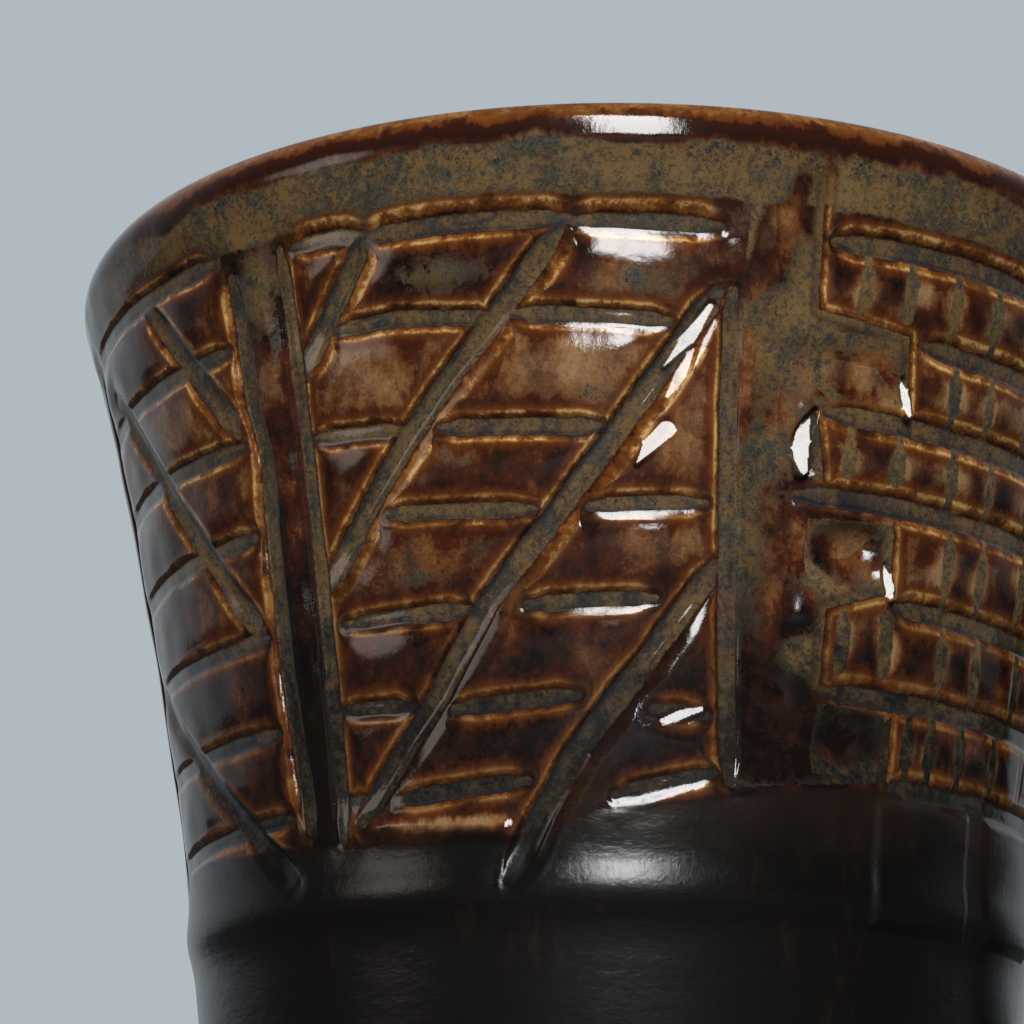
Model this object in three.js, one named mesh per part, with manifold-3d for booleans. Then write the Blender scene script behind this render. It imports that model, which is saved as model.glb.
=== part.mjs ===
// A hand-thrown stoneware mug: a flaring wall carved with timber and brick panels,
// a plain lower wall and a pulled strap handle.
// Millimetres, +Z up. The origin is the middle of the flat base that the mug stands on.
// A place on the wall is a turn, in degrees round the mug from its front (-Y) towards the handle (+X),
// and a depth, in millimetres below the lip.
import * as THREE from "three";
import { mergeVertices } from "three/addons/utils/BufferGeometryUtils.js";
import Module from "manifold-3d";

const wasm = await Module();
wasm.setup();

// Body
const HEIGHT = 100;
const RIM_RADIUS = 46.4; // where the wall's line meets the height of the lip
const SHOULDER_RADIUS = 34.4;
const SHOULDER_DEPTH = 54; // where the flare ends and the plain lower wall begins
const FLARE_CURVE = 0.3; // 0 is a straight cone, more is hollower
const SHOULDER_ROLL = 0.7; // how far the rolled shoulder stands proud
const SHOULDER_ROLL_WIDTH = 7;
const FOOT_RADIUS = 28;
const FOOT_BULGE = 0.2; // how far the lower wall swells past a straight taper
const FOOT_BEVEL = 2.5;
const WALL = 5;
const BASE_THICKNESS = 6;
const FLOOR_FILLET = 9;
const LIP_ROUND = 1.4; // the lip's tight outer edge
const LIP_SLOPE = 3; // how far the lip falls to the inside
const RIM_BAND_DEPTH = 6; // the smooth band under the lip
const CARVED_DEPTH = 58; // the carved wall's lower end
const LINER_THICKNESS = 0.8;
const LINER_TOP_DEPTH = 4;
const JOINT = 0.3; // the thickness of a slip joint between two pieces of clay

// Handle
const HANDLE_TURN = 90;
const HANDLE_TOP_DEPTH = 17;
const HANDLE_BOTTOM_DEPTH = 66;
const HANDLE_REACH = 31; // from the wall at the upper root to the middle of the strap
const HANDLE_RISE = 2; // how far the strap climbs before it turns down
const ROOT_LENGTH = 5;
const ROOT_FLARE_RATIO = 0.7; // how much a root grows on its way into the wall
const STRAP_TOP = { width: 19, thickness: 8.5 };
const STRAP_BOTTOM = { width: 15, thickness: 7 };
const FINGER_SIDE_BOW = 0.8; // how round the strap is on the fingers' side, against 1 outside
// Where the strap's line passes, as shares of the reach from the wall and of the drop between the roots.
const STRAP_CREST = { reachRatio: 0.65 };
const STRAP_FARTHEST = { reachRatio: 1, dropRatio: 0.2 };
const STRAP_BACK = { reachRatio: 0.93, dropRatio: 0.54 };
const STRAP_RETURN = { reachRatio: 0.74, dropRatio: 0.86 };

// Carving
// Each tool's cut is so wide at the surface, so wide at its floor (none for a pointed tool) and so deep.
const COURSE = { width: 1.6, floor: 0, cut: 1.1 };
const BRACE = { width: 2.1, floor: 0, cut: 1.4 };
const POST = { width: 1.7, floor: 0, cut: 1.2 };
const BRICK_COURSE = { width: 1.5, floor: 0, cut: 1 };
const BRICK_JOINT = { width: 1.2, floor: 0, cut: 0.8 };
const QUOIN = { width: 5.6, floor: 3.6, cut: 0.9 };
const PLINTH_GAP = { width: 2.6, floor: 1.4, cut: 1.1 };
const CUTTER_CLEAR = 1; // how far a cutter stands out of the wall

// Facets
const ROUND_SIDES = 44;
const CARVING_STEP = 360 / ROUND_SIDES;
const PLAIN_STEP = 18;
const ROLL_STEP = 2.5;
const CORNER_STEPS = 4;
const STRAP_STEPS = 22;
const STRAP_SIDES = 16;
const ROOT_STEPS = 5;
const SLOPE_REACH = 0.5; // how far to each side the wall's slope is measured

const CLAY = new THREE.MeshStandardMaterial({ color: 0x6b4a33, roughness: 0.85, metalness: 0 });
const AMBER_GLAZE = new THREE.MeshStandardMaterial({ color: 0x6a3a17, roughness: 0.22, metalness: 0 });
const OLIVE_GLAZE = new THREE.MeshStandardMaterial({ color: 0x5b5138, roughness: 0.25, metalness: 0 });
const DARK_GLAZE = new THREE.MeshStandardMaterial({ color: 0x1c1512, roughness: 0.3, metalness: 0 });
const LINER_GLAZE = new THREE.MeshStandardMaterial({ color: 0x5a3a20, roughness: 0.2, metalness: 0 });

const radians = THREE.MathUtils.degToRad;
const lerp = THREE.MathUtils.lerp;

// The thrown line of the wall: a flare above the shoulder and a swelling taper under it.
function thrownRadius(depth) {
  if (depth <= SHOULDER_DEPTH) {
    const down = depth / SHOULDER_DEPTH;
    const drop = (1 + FLARE_CURVE) * down - FLARE_CURVE * down * down;
    return RIM_RADIUS - (RIM_RADIUS - SHOULDER_RADIUS) * drop;
  }
  const down = (depth - SHOULDER_DEPTH) / (HEIGHT - SHOULDER_DEPTH);
  const swell = FOOT_BULGE * 4 * down * (1 - down);
  return lerp(SHOULDER_RADIUS, FOOT_RADIUS, down) + swell;
}

// The outside of the wall is the thrown line with the rolled shoulder on it.
function outerRadius(depth) {
  const off = (depth - SHOULDER_DEPTH) / (SHOULDER_ROLL_WIDTH / 2);
  return thrownRadius(depth) + SHOULDER_ROLL * Math.exp(-off * off);
}

function innerRadius(depth) {
  return thrownRadius(depth) - WALL;
}

// Points of a wall line between two depths.
function wallLine(radiusAt, from, to, step = PLAIN_STEP) {
  const steps = Math.max(1, Math.ceil(Math.abs(to - from) / step));
  const points = [];
  for (let i = 0; i <= steps; i += 1) {
    const depth = lerp(from, to, i / steps);
    points.push(new THREE.Vector2(radiusAt(depth), HEIGHT - depth));
  }
  return points;
}

// A round about a centre from one angle to another, or an oval one with its own rise.
function roundCorner(centre, radius, fromAngle, toAngle, rise = radius) {
  const points = [];
  for (let i = 0; i <= CORNER_STEPS; i += 1) {
    const angle = radians(lerp(fromAngle, toAngle, i / CORNER_STEPS));
    points.push(new THREE.Vector2(centre.x + radius * Math.cos(angle), centre.y + rise * Math.sin(angle)));
  }
  return points;
}

// A solid of revolution about Z. The profile runs up the outside and down the inside.
function turned(profile, closed = true) {
  const points = closed ? [...profile, profile[0]] : profile;
  const geometry = new THREE.LatheGeometry(points, ROUND_SIDES);
  return geometry.rotateX(Math.PI / 2);
}

// A closed skin over rings of points, with flat ends. Each ring goes the same way round.
function lofted(rings) {
  const sides = rings[0].length;
  const positions = rings.flat().flatMap((point) => [point.x, point.y, point.z]);
  const faces = [];
  for (let ring = 0; ring < rings.length - 1; ring += 1) {
    for (let side = 0; side < sides; side += 1) {
      const here = ring * sides + side;
      const next = ring * sides + ((side + 1) % sides);
      faces.push(here, next, here + sides);
      faces.push(next, next + sides, here + sides);
    }
  }
  const last = (rings.length - 1) * sides;
  for (let side = 1; side < sides - 1; side += 1) {
    faces.push(0, side + 1, side);
    faces.push(last, last + side, last + side + 1);
  }
  const geometry = new THREE.BufferGeometry();
  geometry.setAttribute("position", new THREE.Float32BufferAttribute(positions, 3));
  geometry.setIndex(faces);
  return geometry;
}

// A closed geometry as a solid that can be joined and cut.
function solid(geometry) {
  const bare = geometry.index ? geometry.toNonIndexed() : geometry.clone();
  bare.deleteAttribute("normal");
  bare.deleteAttribute("uv");
  const merged = mergeVertices(bare);
  const mesh = new wasm.Mesh({
    numProp: 3,
    vertProperties: merged.attributes.position.array,
    triVerts: new Uint32Array(merged.index.array),
  });
  return new wasm.Manifold(mesh);
}

function geometryOf(shape) {
  const mesh = shape.getMesh();
  const geometry = new THREE.BufferGeometry();
  geometry.setAttribute("position", new THREE.BufferAttribute(mesh.vertProperties, 3));
  geometry.setIndex(new THREE.BufferAttribute(mesh.triVerts, 1));
  geometry.computeVertexNormals();
  return geometry;
}

// A point that stands off the outside of the wall by a distance, along the wall's own normal.
function onWall(turn, depth, off) {
  const rise = outerRadius(depth + SLOPE_REACH) - outerRadius(depth - SLOPE_REACH);
  const lean = Math.atan2(rise, 2 * SLOPE_REACH);
  const radius = outerRadius(depth) + off * Math.cos(lean);
  const angle = radians(turn);
  const height = HEIGHT - depth + off * Math.sin(lean);
  return new THREE.Vector3(radius * Math.sin(angle), -radius * Math.cos(angle), height);
}

// The cutter of one groove, a straight line between two places on the unrolled wall.
function groove([fromTurn, fromDepth, toTurn, toDepth], { width, floor, cut }) {
  const sweep = Math.abs(toTurn - fromTurn) / CARVING_STEP;
  const fall = Math.abs(toDepth - fromDepth) / PLAIN_STEP;
  const steps = Math.max(1, Math.ceil(sweep), Math.ceil(fall));
  const clearHalf = width / 2 + ((width - floor) / 2) * (CUTTER_CLEAR / cut);
  const place = (along, off) => onWall(lerp(fromTurn, toTurn, along), lerp(fromDepth, toDepth, along), off);
  const rings = [];
  for (let i = 0; i <= steps; i += 1) {
    const along = i / steps;
    const bottom = place(along, -cut);
    const top = place(along, CUTTER_CLEAR);
    const heading = place(along + 0.5 / steps, 0).sub(place(along - 0.5 / steps, 0));
    const side = top.clone().sub(bottom).cross(heading).normalize();
    const corner = (point, reach) => point.clone().addScaledVector(side, reach);
    const bottomCorners = floor ? [corner(bottom, -floor / 2), corner(bottom, floor / 2)] : [bottom];
    rings.push([corner(top, -clearHalf), ...bottomCorners, corner(top, clearHalf)]);
  }
  return solid(lofted(rings));
}

// One side of the carving, as [turn, depth, turn, depth] lines with the tool that cuts them.
const LEANING_TIMBERS = [
  { tool: COURSE, lines: [
    [-32.5, 7.6, 10.5, 8.5],
    [-28, 14.1, 5.5, 15],
    [-32.8, 21.7, -0.5, 22.9],
    [-24.5, 28.1, 10, 28.1],
    [-31.5, 35.6, 5, 34.9],
    [-33, 41.9, 11, 42.6],
    [-33, 48.3, 12, 47.4],
  ] },
  { tool: BRACE, lines: [
    [-24.3, 8.2, -33.5, 17],
    [-5.3, 9, -32.8, 32.3],
    [10.3, 12.8, -31.5, 50.2],
    [11.3, 31, -12, 54.5],
  ] },
];
const POST_SIDES = [
  { tool: POST, lines: [
    [-41.3, 8, -40.6, 50],
    [-34.3, 7, -34.1, 51],
  ] },
];
const FALLING_TIMBERS = [
  { tool: COURSE, lines: [
    [-78, 6.9, -43.5, 6.9],
    [-78, 13.8, -43.5, 13.7],
    [-78, 20.9, -43.5, 20.9],
    [-78, 28.4, -43.5, 27.8],
    [-78, 35.6, -43.5, 35.4],
    [-78, 42.9, -43.5, 42.4],
    [-78, 49.8, -42.5, 48.8],
  ] },
  { tool: BRACE, lines: [
    [-57, 7.5, -44, 19.8],
    [-72, 11.5, -45, 34.6],
    [-78, 34.8, -42.5, 53.5],
  ] },
  { tool: POST, lines: [[-79, 7, -79, 51]] },
];
const QUOIN_COLUMN = [
  { tool: POST, lines: [[12.8, 9, 13.6, 48]] },
  { tool: QUOIN, lines: [
    [21.5, 17.4, 31.8, 17.4],
    [23.5, 30.9, 32.2, 30.9],
    [25.5, 43.9, 34, 43.9],
  ] },
  { tool: BRICK_JOINT, lines: [
    [21.6, 7, 22.2, 13.3],
    [22.6, 21.5, 24, 26.2],
    [25, 35.4, 25, 39.8],
  ] },
];
const BRICK_COURSES = [
  [22, 8.5, 71, 8.6],
  [33, 15, 71, 15.2],
  [22.5, 21, 71, 21.2],
  [23.5, 26.8, 71, 27],
  [33.5, 34, 71, 34.2],
  [25, 40.6, 71, 40.9],
  [35.5, 46.9, 71, 47.1],
];
const BRICK_JOINTS = [
  [26.2, 31.3, 37.2, 43.2, 49.5, 56, 63],
  [38.7, 44.2, 51, 58, 65],
  [32.2, 40, 46.3, 54, 61, 67.5],
  [41, 46.8, 55, 62.5],
  [32.8, 41.5, 48, 57, 65],
  [41.3, 46.7, 53.8, 62],
];
const PLINTH_BLOCKS = [
  { tool: PLINTH_GAP, lines: [
    [33.6, 48, 33.6, 57.8],
    [51.8, 48, 51.8, 57.8],
    [71, 48, 71, 57.8],
  ] },
];

// The upright joints of each brick row run between that row's two courses.
function brickJoints() {
  const lines = [];
  BRICK_JOINTS.forEach((turns, row) => {
    const top = BRICK_COURSES[row][1] + BRICK_COURSE.width / 2;
    const bottom = BRICK_COURSES[row + 1][1] - BRICK_COURSE.width / 2;
    turns.forEach((turn) => lines.push([turn, top, turn, bottom]));
  });
  return lines;
}

const BRICK_PANEL = [
  { tool: BRICK_COURSE, lines: BRICK_COURSES },
  { tool: BRICK_JOINT, lines: brickJoints() },
];

// The panels as they go round the mug: the front set, then the same panels turned on to the back.
const BACK_TURN = 150;
const LEFT_TURN = -50;
const PANELS = [
  { turn: 0, sets: [FALLING_TIMBERS, POST_SIDES, LEANING_TIMBERS, QUOIN_COLUMN, BRICK_PANEL, PLINTH_BLOCKS] },
  { turn: BACK_TURN, sets: [POST_SIDES, LEANING_TIMBERS, QUOIN_COLUMN, BRICK_PANEL, PLINTH_BLOCKS] },
  { turn: LEFT_TURN, sets: [FALLING_TIMBERS, POST_SIDES] },
];

function carvingCutters() {
  const cutters = [];
  for (const panel of PANELS) {
    for (const { tool, lines } of panel.sets.flat()) {
      for (const [fromTurn, fromDepth, toTurn, toDepth] of lines) {
        cutters.push(groove([fromTurn + panel.turn, fromDepth, toTurn + panel.turn, toDepth], tool));
      }
    }
  }
  return wasm.Manifold.union(cutters);
}

const BASE_DEPTH = HEIGHT - BASE_THICKNESS;

// The flat slab under the mug, bevelled where it meets the table and left unglazed.
function baseSlab() {
  return turned([
    new THREE.Vector2(0, 0),
    new THREE.Vector2(FOOT_RADIUS - FOOT_BEVEL, 0),
    new THREE.Vector2(outerRadius(HEIGHT - FOOT_BEVEL), FOOT_BEVEL),
    new THREE.Vector2(outerRadius(BASE_DEPTH), BASE_THICKNESS),
    new THREE.Vector2(0, BASE_THICKNESS),
  ], false);
}

// The inside line of the lower wall and its round into the floor, set in from the clay by an offset.
function insideLine(fromDepth, offset) {
  const floorHeight = BASE_THICKNESS + JOINT + offset;
  const round = FLOOR_FILLET - offset;
  const turnDepth = HEIGHT - floorHeight - round;
  const radiusAt = (depth) => innerRadius(depth) - offset;
  const corner = new THREE.Vector2(radiusAt(turnDepth) - round, floorHeight + round);
  return [...wallLine(radiusAt, fromDepth, turnDepth), ...roundCorner(corner, round, 0, -90).slice(1)];
}

// The plain dark wall from the base up to the shoulder.
function lowerWall() {
  const outside = wallLine(outerRadius, BASE_DEPTH - JOINT, CARVED_DEPTH + JOINT);
  return turned([...outside, ...insideLine(CARVED_DEPTH + JOINT, 0)]);
}

// The flaring wall with the carved panels.
function carvedWall() {
  const rollTop = SHOULDER_DEPTH - SHOULDER_ROLL_WIDTH;
  const shoulder = wallLine(outerRadius, CARVED_DEPTH, rollTop, ROLL_STEP);
  const flare = wallLine(outerRadius, rollTop, RIM_BAND_DEPTH + JOINT);
  const inside = wallLine(innerRadius, RIM_BAND_DEPTH + JOINT, CARVED_DEPTH);
  const wall = solid(turned([...shoulder, ...flare.slice(1), ...inside]));
  return geometryOf(wall.subtract(carvingCutters()));
}

// The smooth band at the top. The lip is tight on the outside and falls in an easy round to the inside.
function rimBand() {
  const outside = wallLine(outerRadius, RIM_BAND_DEPTH, LIP_ROUND);
  const crest = outerRadius(LIP_ROUND) - LIP_ROUND;
  const edge = roundCorner(new THREE.Vector2(crest, HEIGHT - LIP_ROUND), LIP_ROUND, 0, 90);
  const fall = crest - innerRadius(LIP_SLOPE);
  const slope = roundCorner(new THREE.Vector2(crest, HEIGHT - LIP_SLOPE), fall, 90, 180, LIP_SLOPE);
  const inside = wallLine(innerRadius, LIP_SLOPE, RIM_BAND_DEPTH);
  return turned([...outside, ...edge.slice(1), ...slope.slice(1), ...inside.slice(1)]);
}

// The coat of glaze that lines the inside, from under the lip down over the floor.
function linerGlaze() {
  const outside = insideLine(LINER_TOP_DEPTH, JOINT).reverse();
  const inside = insideLine(LINER_TOP_DEPTH, JOINT + LINER_THICKNESS);
  const floor = (line) => new THREE.Vector2(0, line.y);
  return turned([floor(outside[0]), ...outside, ...inside, floor(inside.at(-1))], false);
}

// Everything inside the wall's outside, and the slip joint on it, for cutting the handle's roots to fit.
function wallEnvelope() {
  const outside = wallLine((depth) => outerRadius(depth) + JOINT, HEIGHT, 0, ROLL_STEP);
  const top = new THREE.Vector2(0, HEIGHT);
  const bottom = new THREE.Vector2(0, 0);
  return solid(turned([bottom, ...outside, top], false));
}

// The strap's middle line in the plane of the handle: out from the wall, over, down and back.
function strapLine() {
  const topRadius = outerRadius(HANDLE_TOP_DEPTH);
  const topHeight = HEIGHT - HANDLE_TOP_DEPTH;
  const bottomRadius = outerRadius(HANDLE_BOTTOM_DEPTH);
  const bottomHeight = HEIGHT - HANDLE_BOTTOM_DEPTH;
  const drop = topHeight - bottomHeight;
  const at = (radius, height) => new THREE.Vector3(radius, 0, height);
  return new THREE.CatmullRomCurve3([
    at(topRadius + ROOT_LENGTH, topHeight),
    at(topRadius + HANDLE_REACH * STRAP_CREST.reachRatio, topHeight + HANDLE_RISE),
    at(topRadius + HANDLE_REACH * STRAP_FARTHEST.reachRatio, topHeight - drop * STRAP_FARTHEST.dropRatio),
    at(topRadius + HANDLE_REACH * STRAP_BACK.reachRatio, topHeight - drop * STRAP_BACK.dropRatio),
    at(bottomRadius + HANDLE_REACH * STRAP_RETURN.reachRatio, topHeight - drop * STRAP_RETURN.dropRatio),
    at(bottomRadius + ROOT_LENGTH, bottomHeight),
  ]);
}

// An oval ring square to the strap, flatter on the side that the fingers meet.
function strapRing(centre, heading, width, thickness) {
  const across = new THREE.Vector3(0, 1, 0);
  const out = across.clone().cross(heading).normalize();
  const ring = [];
  for (let i = 0; i < STRAP_SIDES; i += 1) {
    const angle = (-i / STRAP_SIDES) * 2 * Math.PI;
    const bow = Math.sin(angle) > 0 ? 1 : FINGER_SIDE_BOW;
    const point = centre.clone();
    point.addScaledVector(across, (Math.cos(angle) * width) / 2);
    point.addScaledVector(out, (Math.sin(angle) * bow * thickness) / 2);
    ring.push(point);
  }
  return ring;
}

// The pulled strap, which thins from its upper root to its lower one.
function handleStrap() {
  const line = strapLine();
  const trim = JOINT / line.getLength();
  const rings = [];
  for (let i = 0; i <= STRAP_STEPS; i += 1) {
    const along = lerp(trim, 1 - trim, i / STRAP_STEPS);
    const width = lerp(STRAP_TOP.width, STRAP_BOTTOM.width, along);
    const thickness = lerp(STRAP_TOP.thickness, STRAP_BOTTOM.thickness, along);
    rings.push(strapRing(line.getPointAt(along), line.getTangentAt(along), width, thickness));
  }
  return lofted(rings);
}

// A root of the handle: it carries the strap's end into the wall, growing wider,
// and is cut to the wall's curve.
function handleRoot(end, strapEnd) {
  const line = strapLine();
  const start = line.getPointAt(end);
  const heading = line.getTangentAt(end);
  const inward = end === 0 ? -1 : 1;
  const rings = [];
  for (let i = 0; i <= ROOT_STEPS; i += 1) {
    const along = i / ROOT_STEPS;
    const scale = 1 + ROOT_FLARE_RATIO * along * along;
    const centre = start.clone().addScaledVector(heading, inward * along * (ROOT_LENGTH + WALL));
    rings.push(strapRing(centre, heading, strapEnd.width * scale, strapEnd.thickness * scale));
  }
  if (inward < 0) {
    rings.reverse();
  }
  return geometryOf(solid(lofted(rings)).subtract(wallEnvelope()));
}

function piece(name, geometry, material) {
  const mesh = new THREE.Mesh(geometry, material);
  mesh.name = name;
  return mesh;
}

const mug = new THREE.Group();
mug.add(
  piece("base_slab", baseSlab(), CLAY),
  piece("lower_wall", lowerWall(), DARK_GLAZE),
  piece("carved_wall", carvedWall(), AMBER_GLAZE),
  piece("rim_band", rimBand(), OLIVE_GLAZE),
  piece("liner_glaze", linerGlaze(), LINER_GLAZE),
);

const handle = new THREE.Group();
handle.rotation.z = radians(HANDLE_TURN - 90);
handle.add(
  piece("handle_strap", handleStrap(), AMBER_GLAZE),
  piece("handle_upper_root", handleRoot(0, STRAP_TOP), AMBER_GLAZE),
  piece("handle_lower_root", handleRoot(1, STRAP_BOTTOM), DARK_GLAZE),
);
mug.add(handle);

export default mug;
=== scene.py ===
"""The looks of a carved stoneware mug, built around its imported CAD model.

The scene is in metres, in the CAD frame: +Z up, the origin in the middle of the base. Sizes here are in
millimetres. A place on the wall is a turn, in degrees round the mug from its front (-Y) towards the handle
(+X), and a depth below the lip.
"""
import math
from collections import namedtuple

import bpy
import numpy as np
from mathutils import Matrix, Vector


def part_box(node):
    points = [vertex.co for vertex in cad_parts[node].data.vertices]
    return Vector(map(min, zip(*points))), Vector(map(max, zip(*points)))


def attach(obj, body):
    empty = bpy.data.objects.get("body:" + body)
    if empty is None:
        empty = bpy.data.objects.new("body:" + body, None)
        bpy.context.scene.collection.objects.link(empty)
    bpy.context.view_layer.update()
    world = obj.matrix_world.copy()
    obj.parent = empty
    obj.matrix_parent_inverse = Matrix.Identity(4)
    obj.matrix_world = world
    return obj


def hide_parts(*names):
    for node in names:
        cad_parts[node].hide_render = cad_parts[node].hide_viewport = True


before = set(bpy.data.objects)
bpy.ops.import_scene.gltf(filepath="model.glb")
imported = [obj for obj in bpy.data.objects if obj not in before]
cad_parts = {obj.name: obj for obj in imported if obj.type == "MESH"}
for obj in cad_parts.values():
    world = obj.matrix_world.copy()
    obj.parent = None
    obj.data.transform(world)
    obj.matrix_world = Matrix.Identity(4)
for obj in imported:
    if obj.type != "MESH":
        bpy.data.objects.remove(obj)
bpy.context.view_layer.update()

MM = 0.001
FRAME_BOX = {name: tuple(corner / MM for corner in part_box(name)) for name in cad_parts}

# Body
HEIGHT = FRAME_BOX["rim_band"][1].z
BASE_TOP = FRAME_BOX["base_slab"][1].z
CARVED_BOTTOM = HEIGHT - FRAME_BOX["carved_wall"][0].z
RIM_SEAM = HEIGHT - FRAME_BOX["rim_band"][0].z
RIM_RADIUS = 46.4
SHOULDER_RADIUS = 34.4
SHOULDER_DEPTH = 54
FLARE_CURVE = 0.3
SHOULDER_ROLL = 0.4
SHOULDER_ROLL_HALF = 2
SHOULDER_ROLL_DROP = 1.8
FOOT_RADIUS = 28
FOOT_BULGE = 0.2
FOOT_BEVEL = 2.5
# How the foot's edge and the top of its bevel are eased, and where the plain side starts above the bevel.
FOOT_EASE_IN = 0.6
FOOT_EASE_UP = 0.25
BEVEL_EASE_IN = 0.35
BEVEL_EASE_DOWN = 0.3
BEVEL_EASE_UP = 0.4
SIDE_START = 1
WALL = 5
FLOOR_FILLET = 9
LIP_ROUND = 1
LIP_EASE = 3.2
LIP_TURN = 40
LIP_SLOPE = 3
LIP_BEAD = 0.22
LIP_BEAD_DEPTH = 2.2
LIP_BEAD_HALF = 2.4
LINER_OFFSET = 1.1
LINER_THICKNESS = 0.8
LINER_TOP_DEPTH = 3.4
LINER_TOP_OFFSET = 0.06
LINER_FEATHER = 5
LINER_GAP = 0.02

# Handle
HANDLE_TOP_DEPTH = 17
HANDLE_BOTTOM_DEPTH = 66
HANDLE_REACH = 30.1
HANDLE_RISE = 2
ROOT_LENGTH = 5
ROOT_SINK = 3.4
ROOT_FLARE = 0.38
STRAP_WIDTH = 19
STRAP_THICKNESS = 8.5
STRAP_TAPER = 0.8
FINGER_SIDE_BOW = 0.8
# Where the strap's line passes, as shares of the reach from the wall and of the drop between the roots.
STRAP_CREST = 0.65
STRAP_FARTHEST = (1, 0.2)
STRAP_BACK = (0.93, 0.54)
STRAP_RETURN = (0.74, 0.86)
# How far the line falls inside the wall.
UPPER_ROOT_DROP = 0.8
LOWER_ROOT_DROP = 1.2
# Distances from the strap's side at which olive glaze begins, and depths at which the dark glaze does.
STRAP_POOL = (2.5, 6)
STRAP_DARK = (50, 62)

# Mesh
# Each sector's turns, and its rows and steps: the side that the photo shows is finer.
FINE = (418, 230)
COARSE = (260, 370)
SECTORS = {
    "left": (-37.7, -12.2, FINE),
    "middle": (-12.2, 13.2, FINE),
    "column": (13.2, 46, FINE),
    "right": (46, 80, FINE),
    "right_back": (80, 161, COARSE),
    "back": (161, 242, COARSE),
    "left_back": (242, 322.3, COARSE),
}
# Rows of points on the other walls.
ROWS = {
    "rim": 24, "rim_inside": 6, "carved_inside": 5, "lower": 70, "lower_inside": 10, "liner": 40, "slab": 6,
}
ROUND_STEPS = 540
LIP_STEPS = 14
STRAP_STEPS = 14
STRAP_SIDE_STEPS = 16
SMOOTH_ANGLE = math.radians(70)
# Distances in metres at which doubles are merged, on the axis and all over.
AXIS_MERGE = 1e-6
MERGE = 1e-7

# Carving. A groove's wide side is the one that its tool leaned to, given as a heading (across, up): the
# glaze is thin there as far as its far line, and on the other side as far as its near one. A plain side has
# no thin line, and a groove that is a pool has none at all.
Tool = namedtuple("Tool", "width cut wide near far plain")
COURSE = Tool(1.25, 0.14, (0, 1), 0.36, 0.45, None)
TOP_COURSE = Tool(1.35, 0.15, (0, 1), 0.42, 0.85, None)
BRACE = Tool(1.7, 0.36, (0.7, -0.7), 0.36, 1.05, "wide_low")
POST_GROOVE = Tool(1.5, 0.3, (-1, 0), 0.3, 0.6, "narrow")
POST_SEAM = Tool(1.2, 0.25, (1, 0), 0.3, 0.4, "narrow")
COLUMN_GROOVE = Tool(1.35, 0.3, (-1, 0), 0.3, 0.4, "narrow")
BRICK_COURSE = Tool(1.4, 0.15, (0, 1), 0.56, 0.7, None)
BRICK_JOINT = Tool(0.95, 0.06, (1, 0), 0.2, 0.26, "pool")
# Between these depths the wide side of a brace loses its thin line.
PLAIN_FROM = 28
PLAIN_BELOW = 38
BRACE_PLAIN = 0.9
TOOTH_EDGE = 0.2
# How wide the dark line inside a groove's narrow side is: partly a darker glaze line, partly painted shade of
# the groove's wall.
SHADED_LINE = 0.17
TAPER = 1.7
TAPER_END = 0.55
RUN_OUT = 3.4
# How plain an edge is round the end of a groove, and how far from the end.
END_PLAIN = 0.85
END_REACH = 1
GLAZE_ROUND = 0.25
# How far a place has to lie towards a side of a groove to be on its wide, its narrow or its low side.
WIDE_SIDE = (-0.6, 0.8)
NARROW_SIDE = (0.2, -0.3)
LOW_SIDE = (0, -0.7)
# The lower side of a groove is gentle: how far it reaches out, and its width for each millimetre of cut.
LOW_REACH = 0.18
LOW_WIDTH = 2.65
BEVEL_SHARE = 0.28
BEVEL_CURVE = 1.3
BURR = 0.025
BURR_HALF = 0.25
PILLOW = 0.36
PILLOW_REACH = 2.6
# How full the pillows are, by depth.
PILLOW_FULL = [(18, 1), (28, 0.65), (45, 0.5)]
THIN_LINE = 0.45
FAR = 5.0
TINY = 1e-9
CARVING_DROP = 0.6
# The pillows and the hand's waver fade in below the lip, and the waver fades out above the shoulder.
LIP_CLEAR = (0.6, 4)
HAND_END = (53, 47)

# Unevenness: how strong it is, how long its waves are, and its seed.
Waver = namedtuple("Waver", "strength wave seed")
HAND_WAVER = Waver(0.09, 17, 1)
HAND_TREMOR = Waver(0.03, 5, 2)
GROOVE_WAVER = Waver(0.09, 7, 0)
HOLLOW_ROUGHNESS = Waver(0.1, 2.5, 0)
HOLLOW_WAVER = Waver(0.16, 4.5, 8)
TONE_WAVER = Waver(0.28, 6.5, 9)
BRICK_WAVER = Waver(0.6, 4.2, 6)
GLAZE_WAVER = Waver(1, 9, 4)
STRAP_WAVER = Waver(1, 7, 5)


def cuts(tool, lines):
    """Strokes of one tool along some lines."""
    return [(tool, line) for line in lines]


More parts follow.
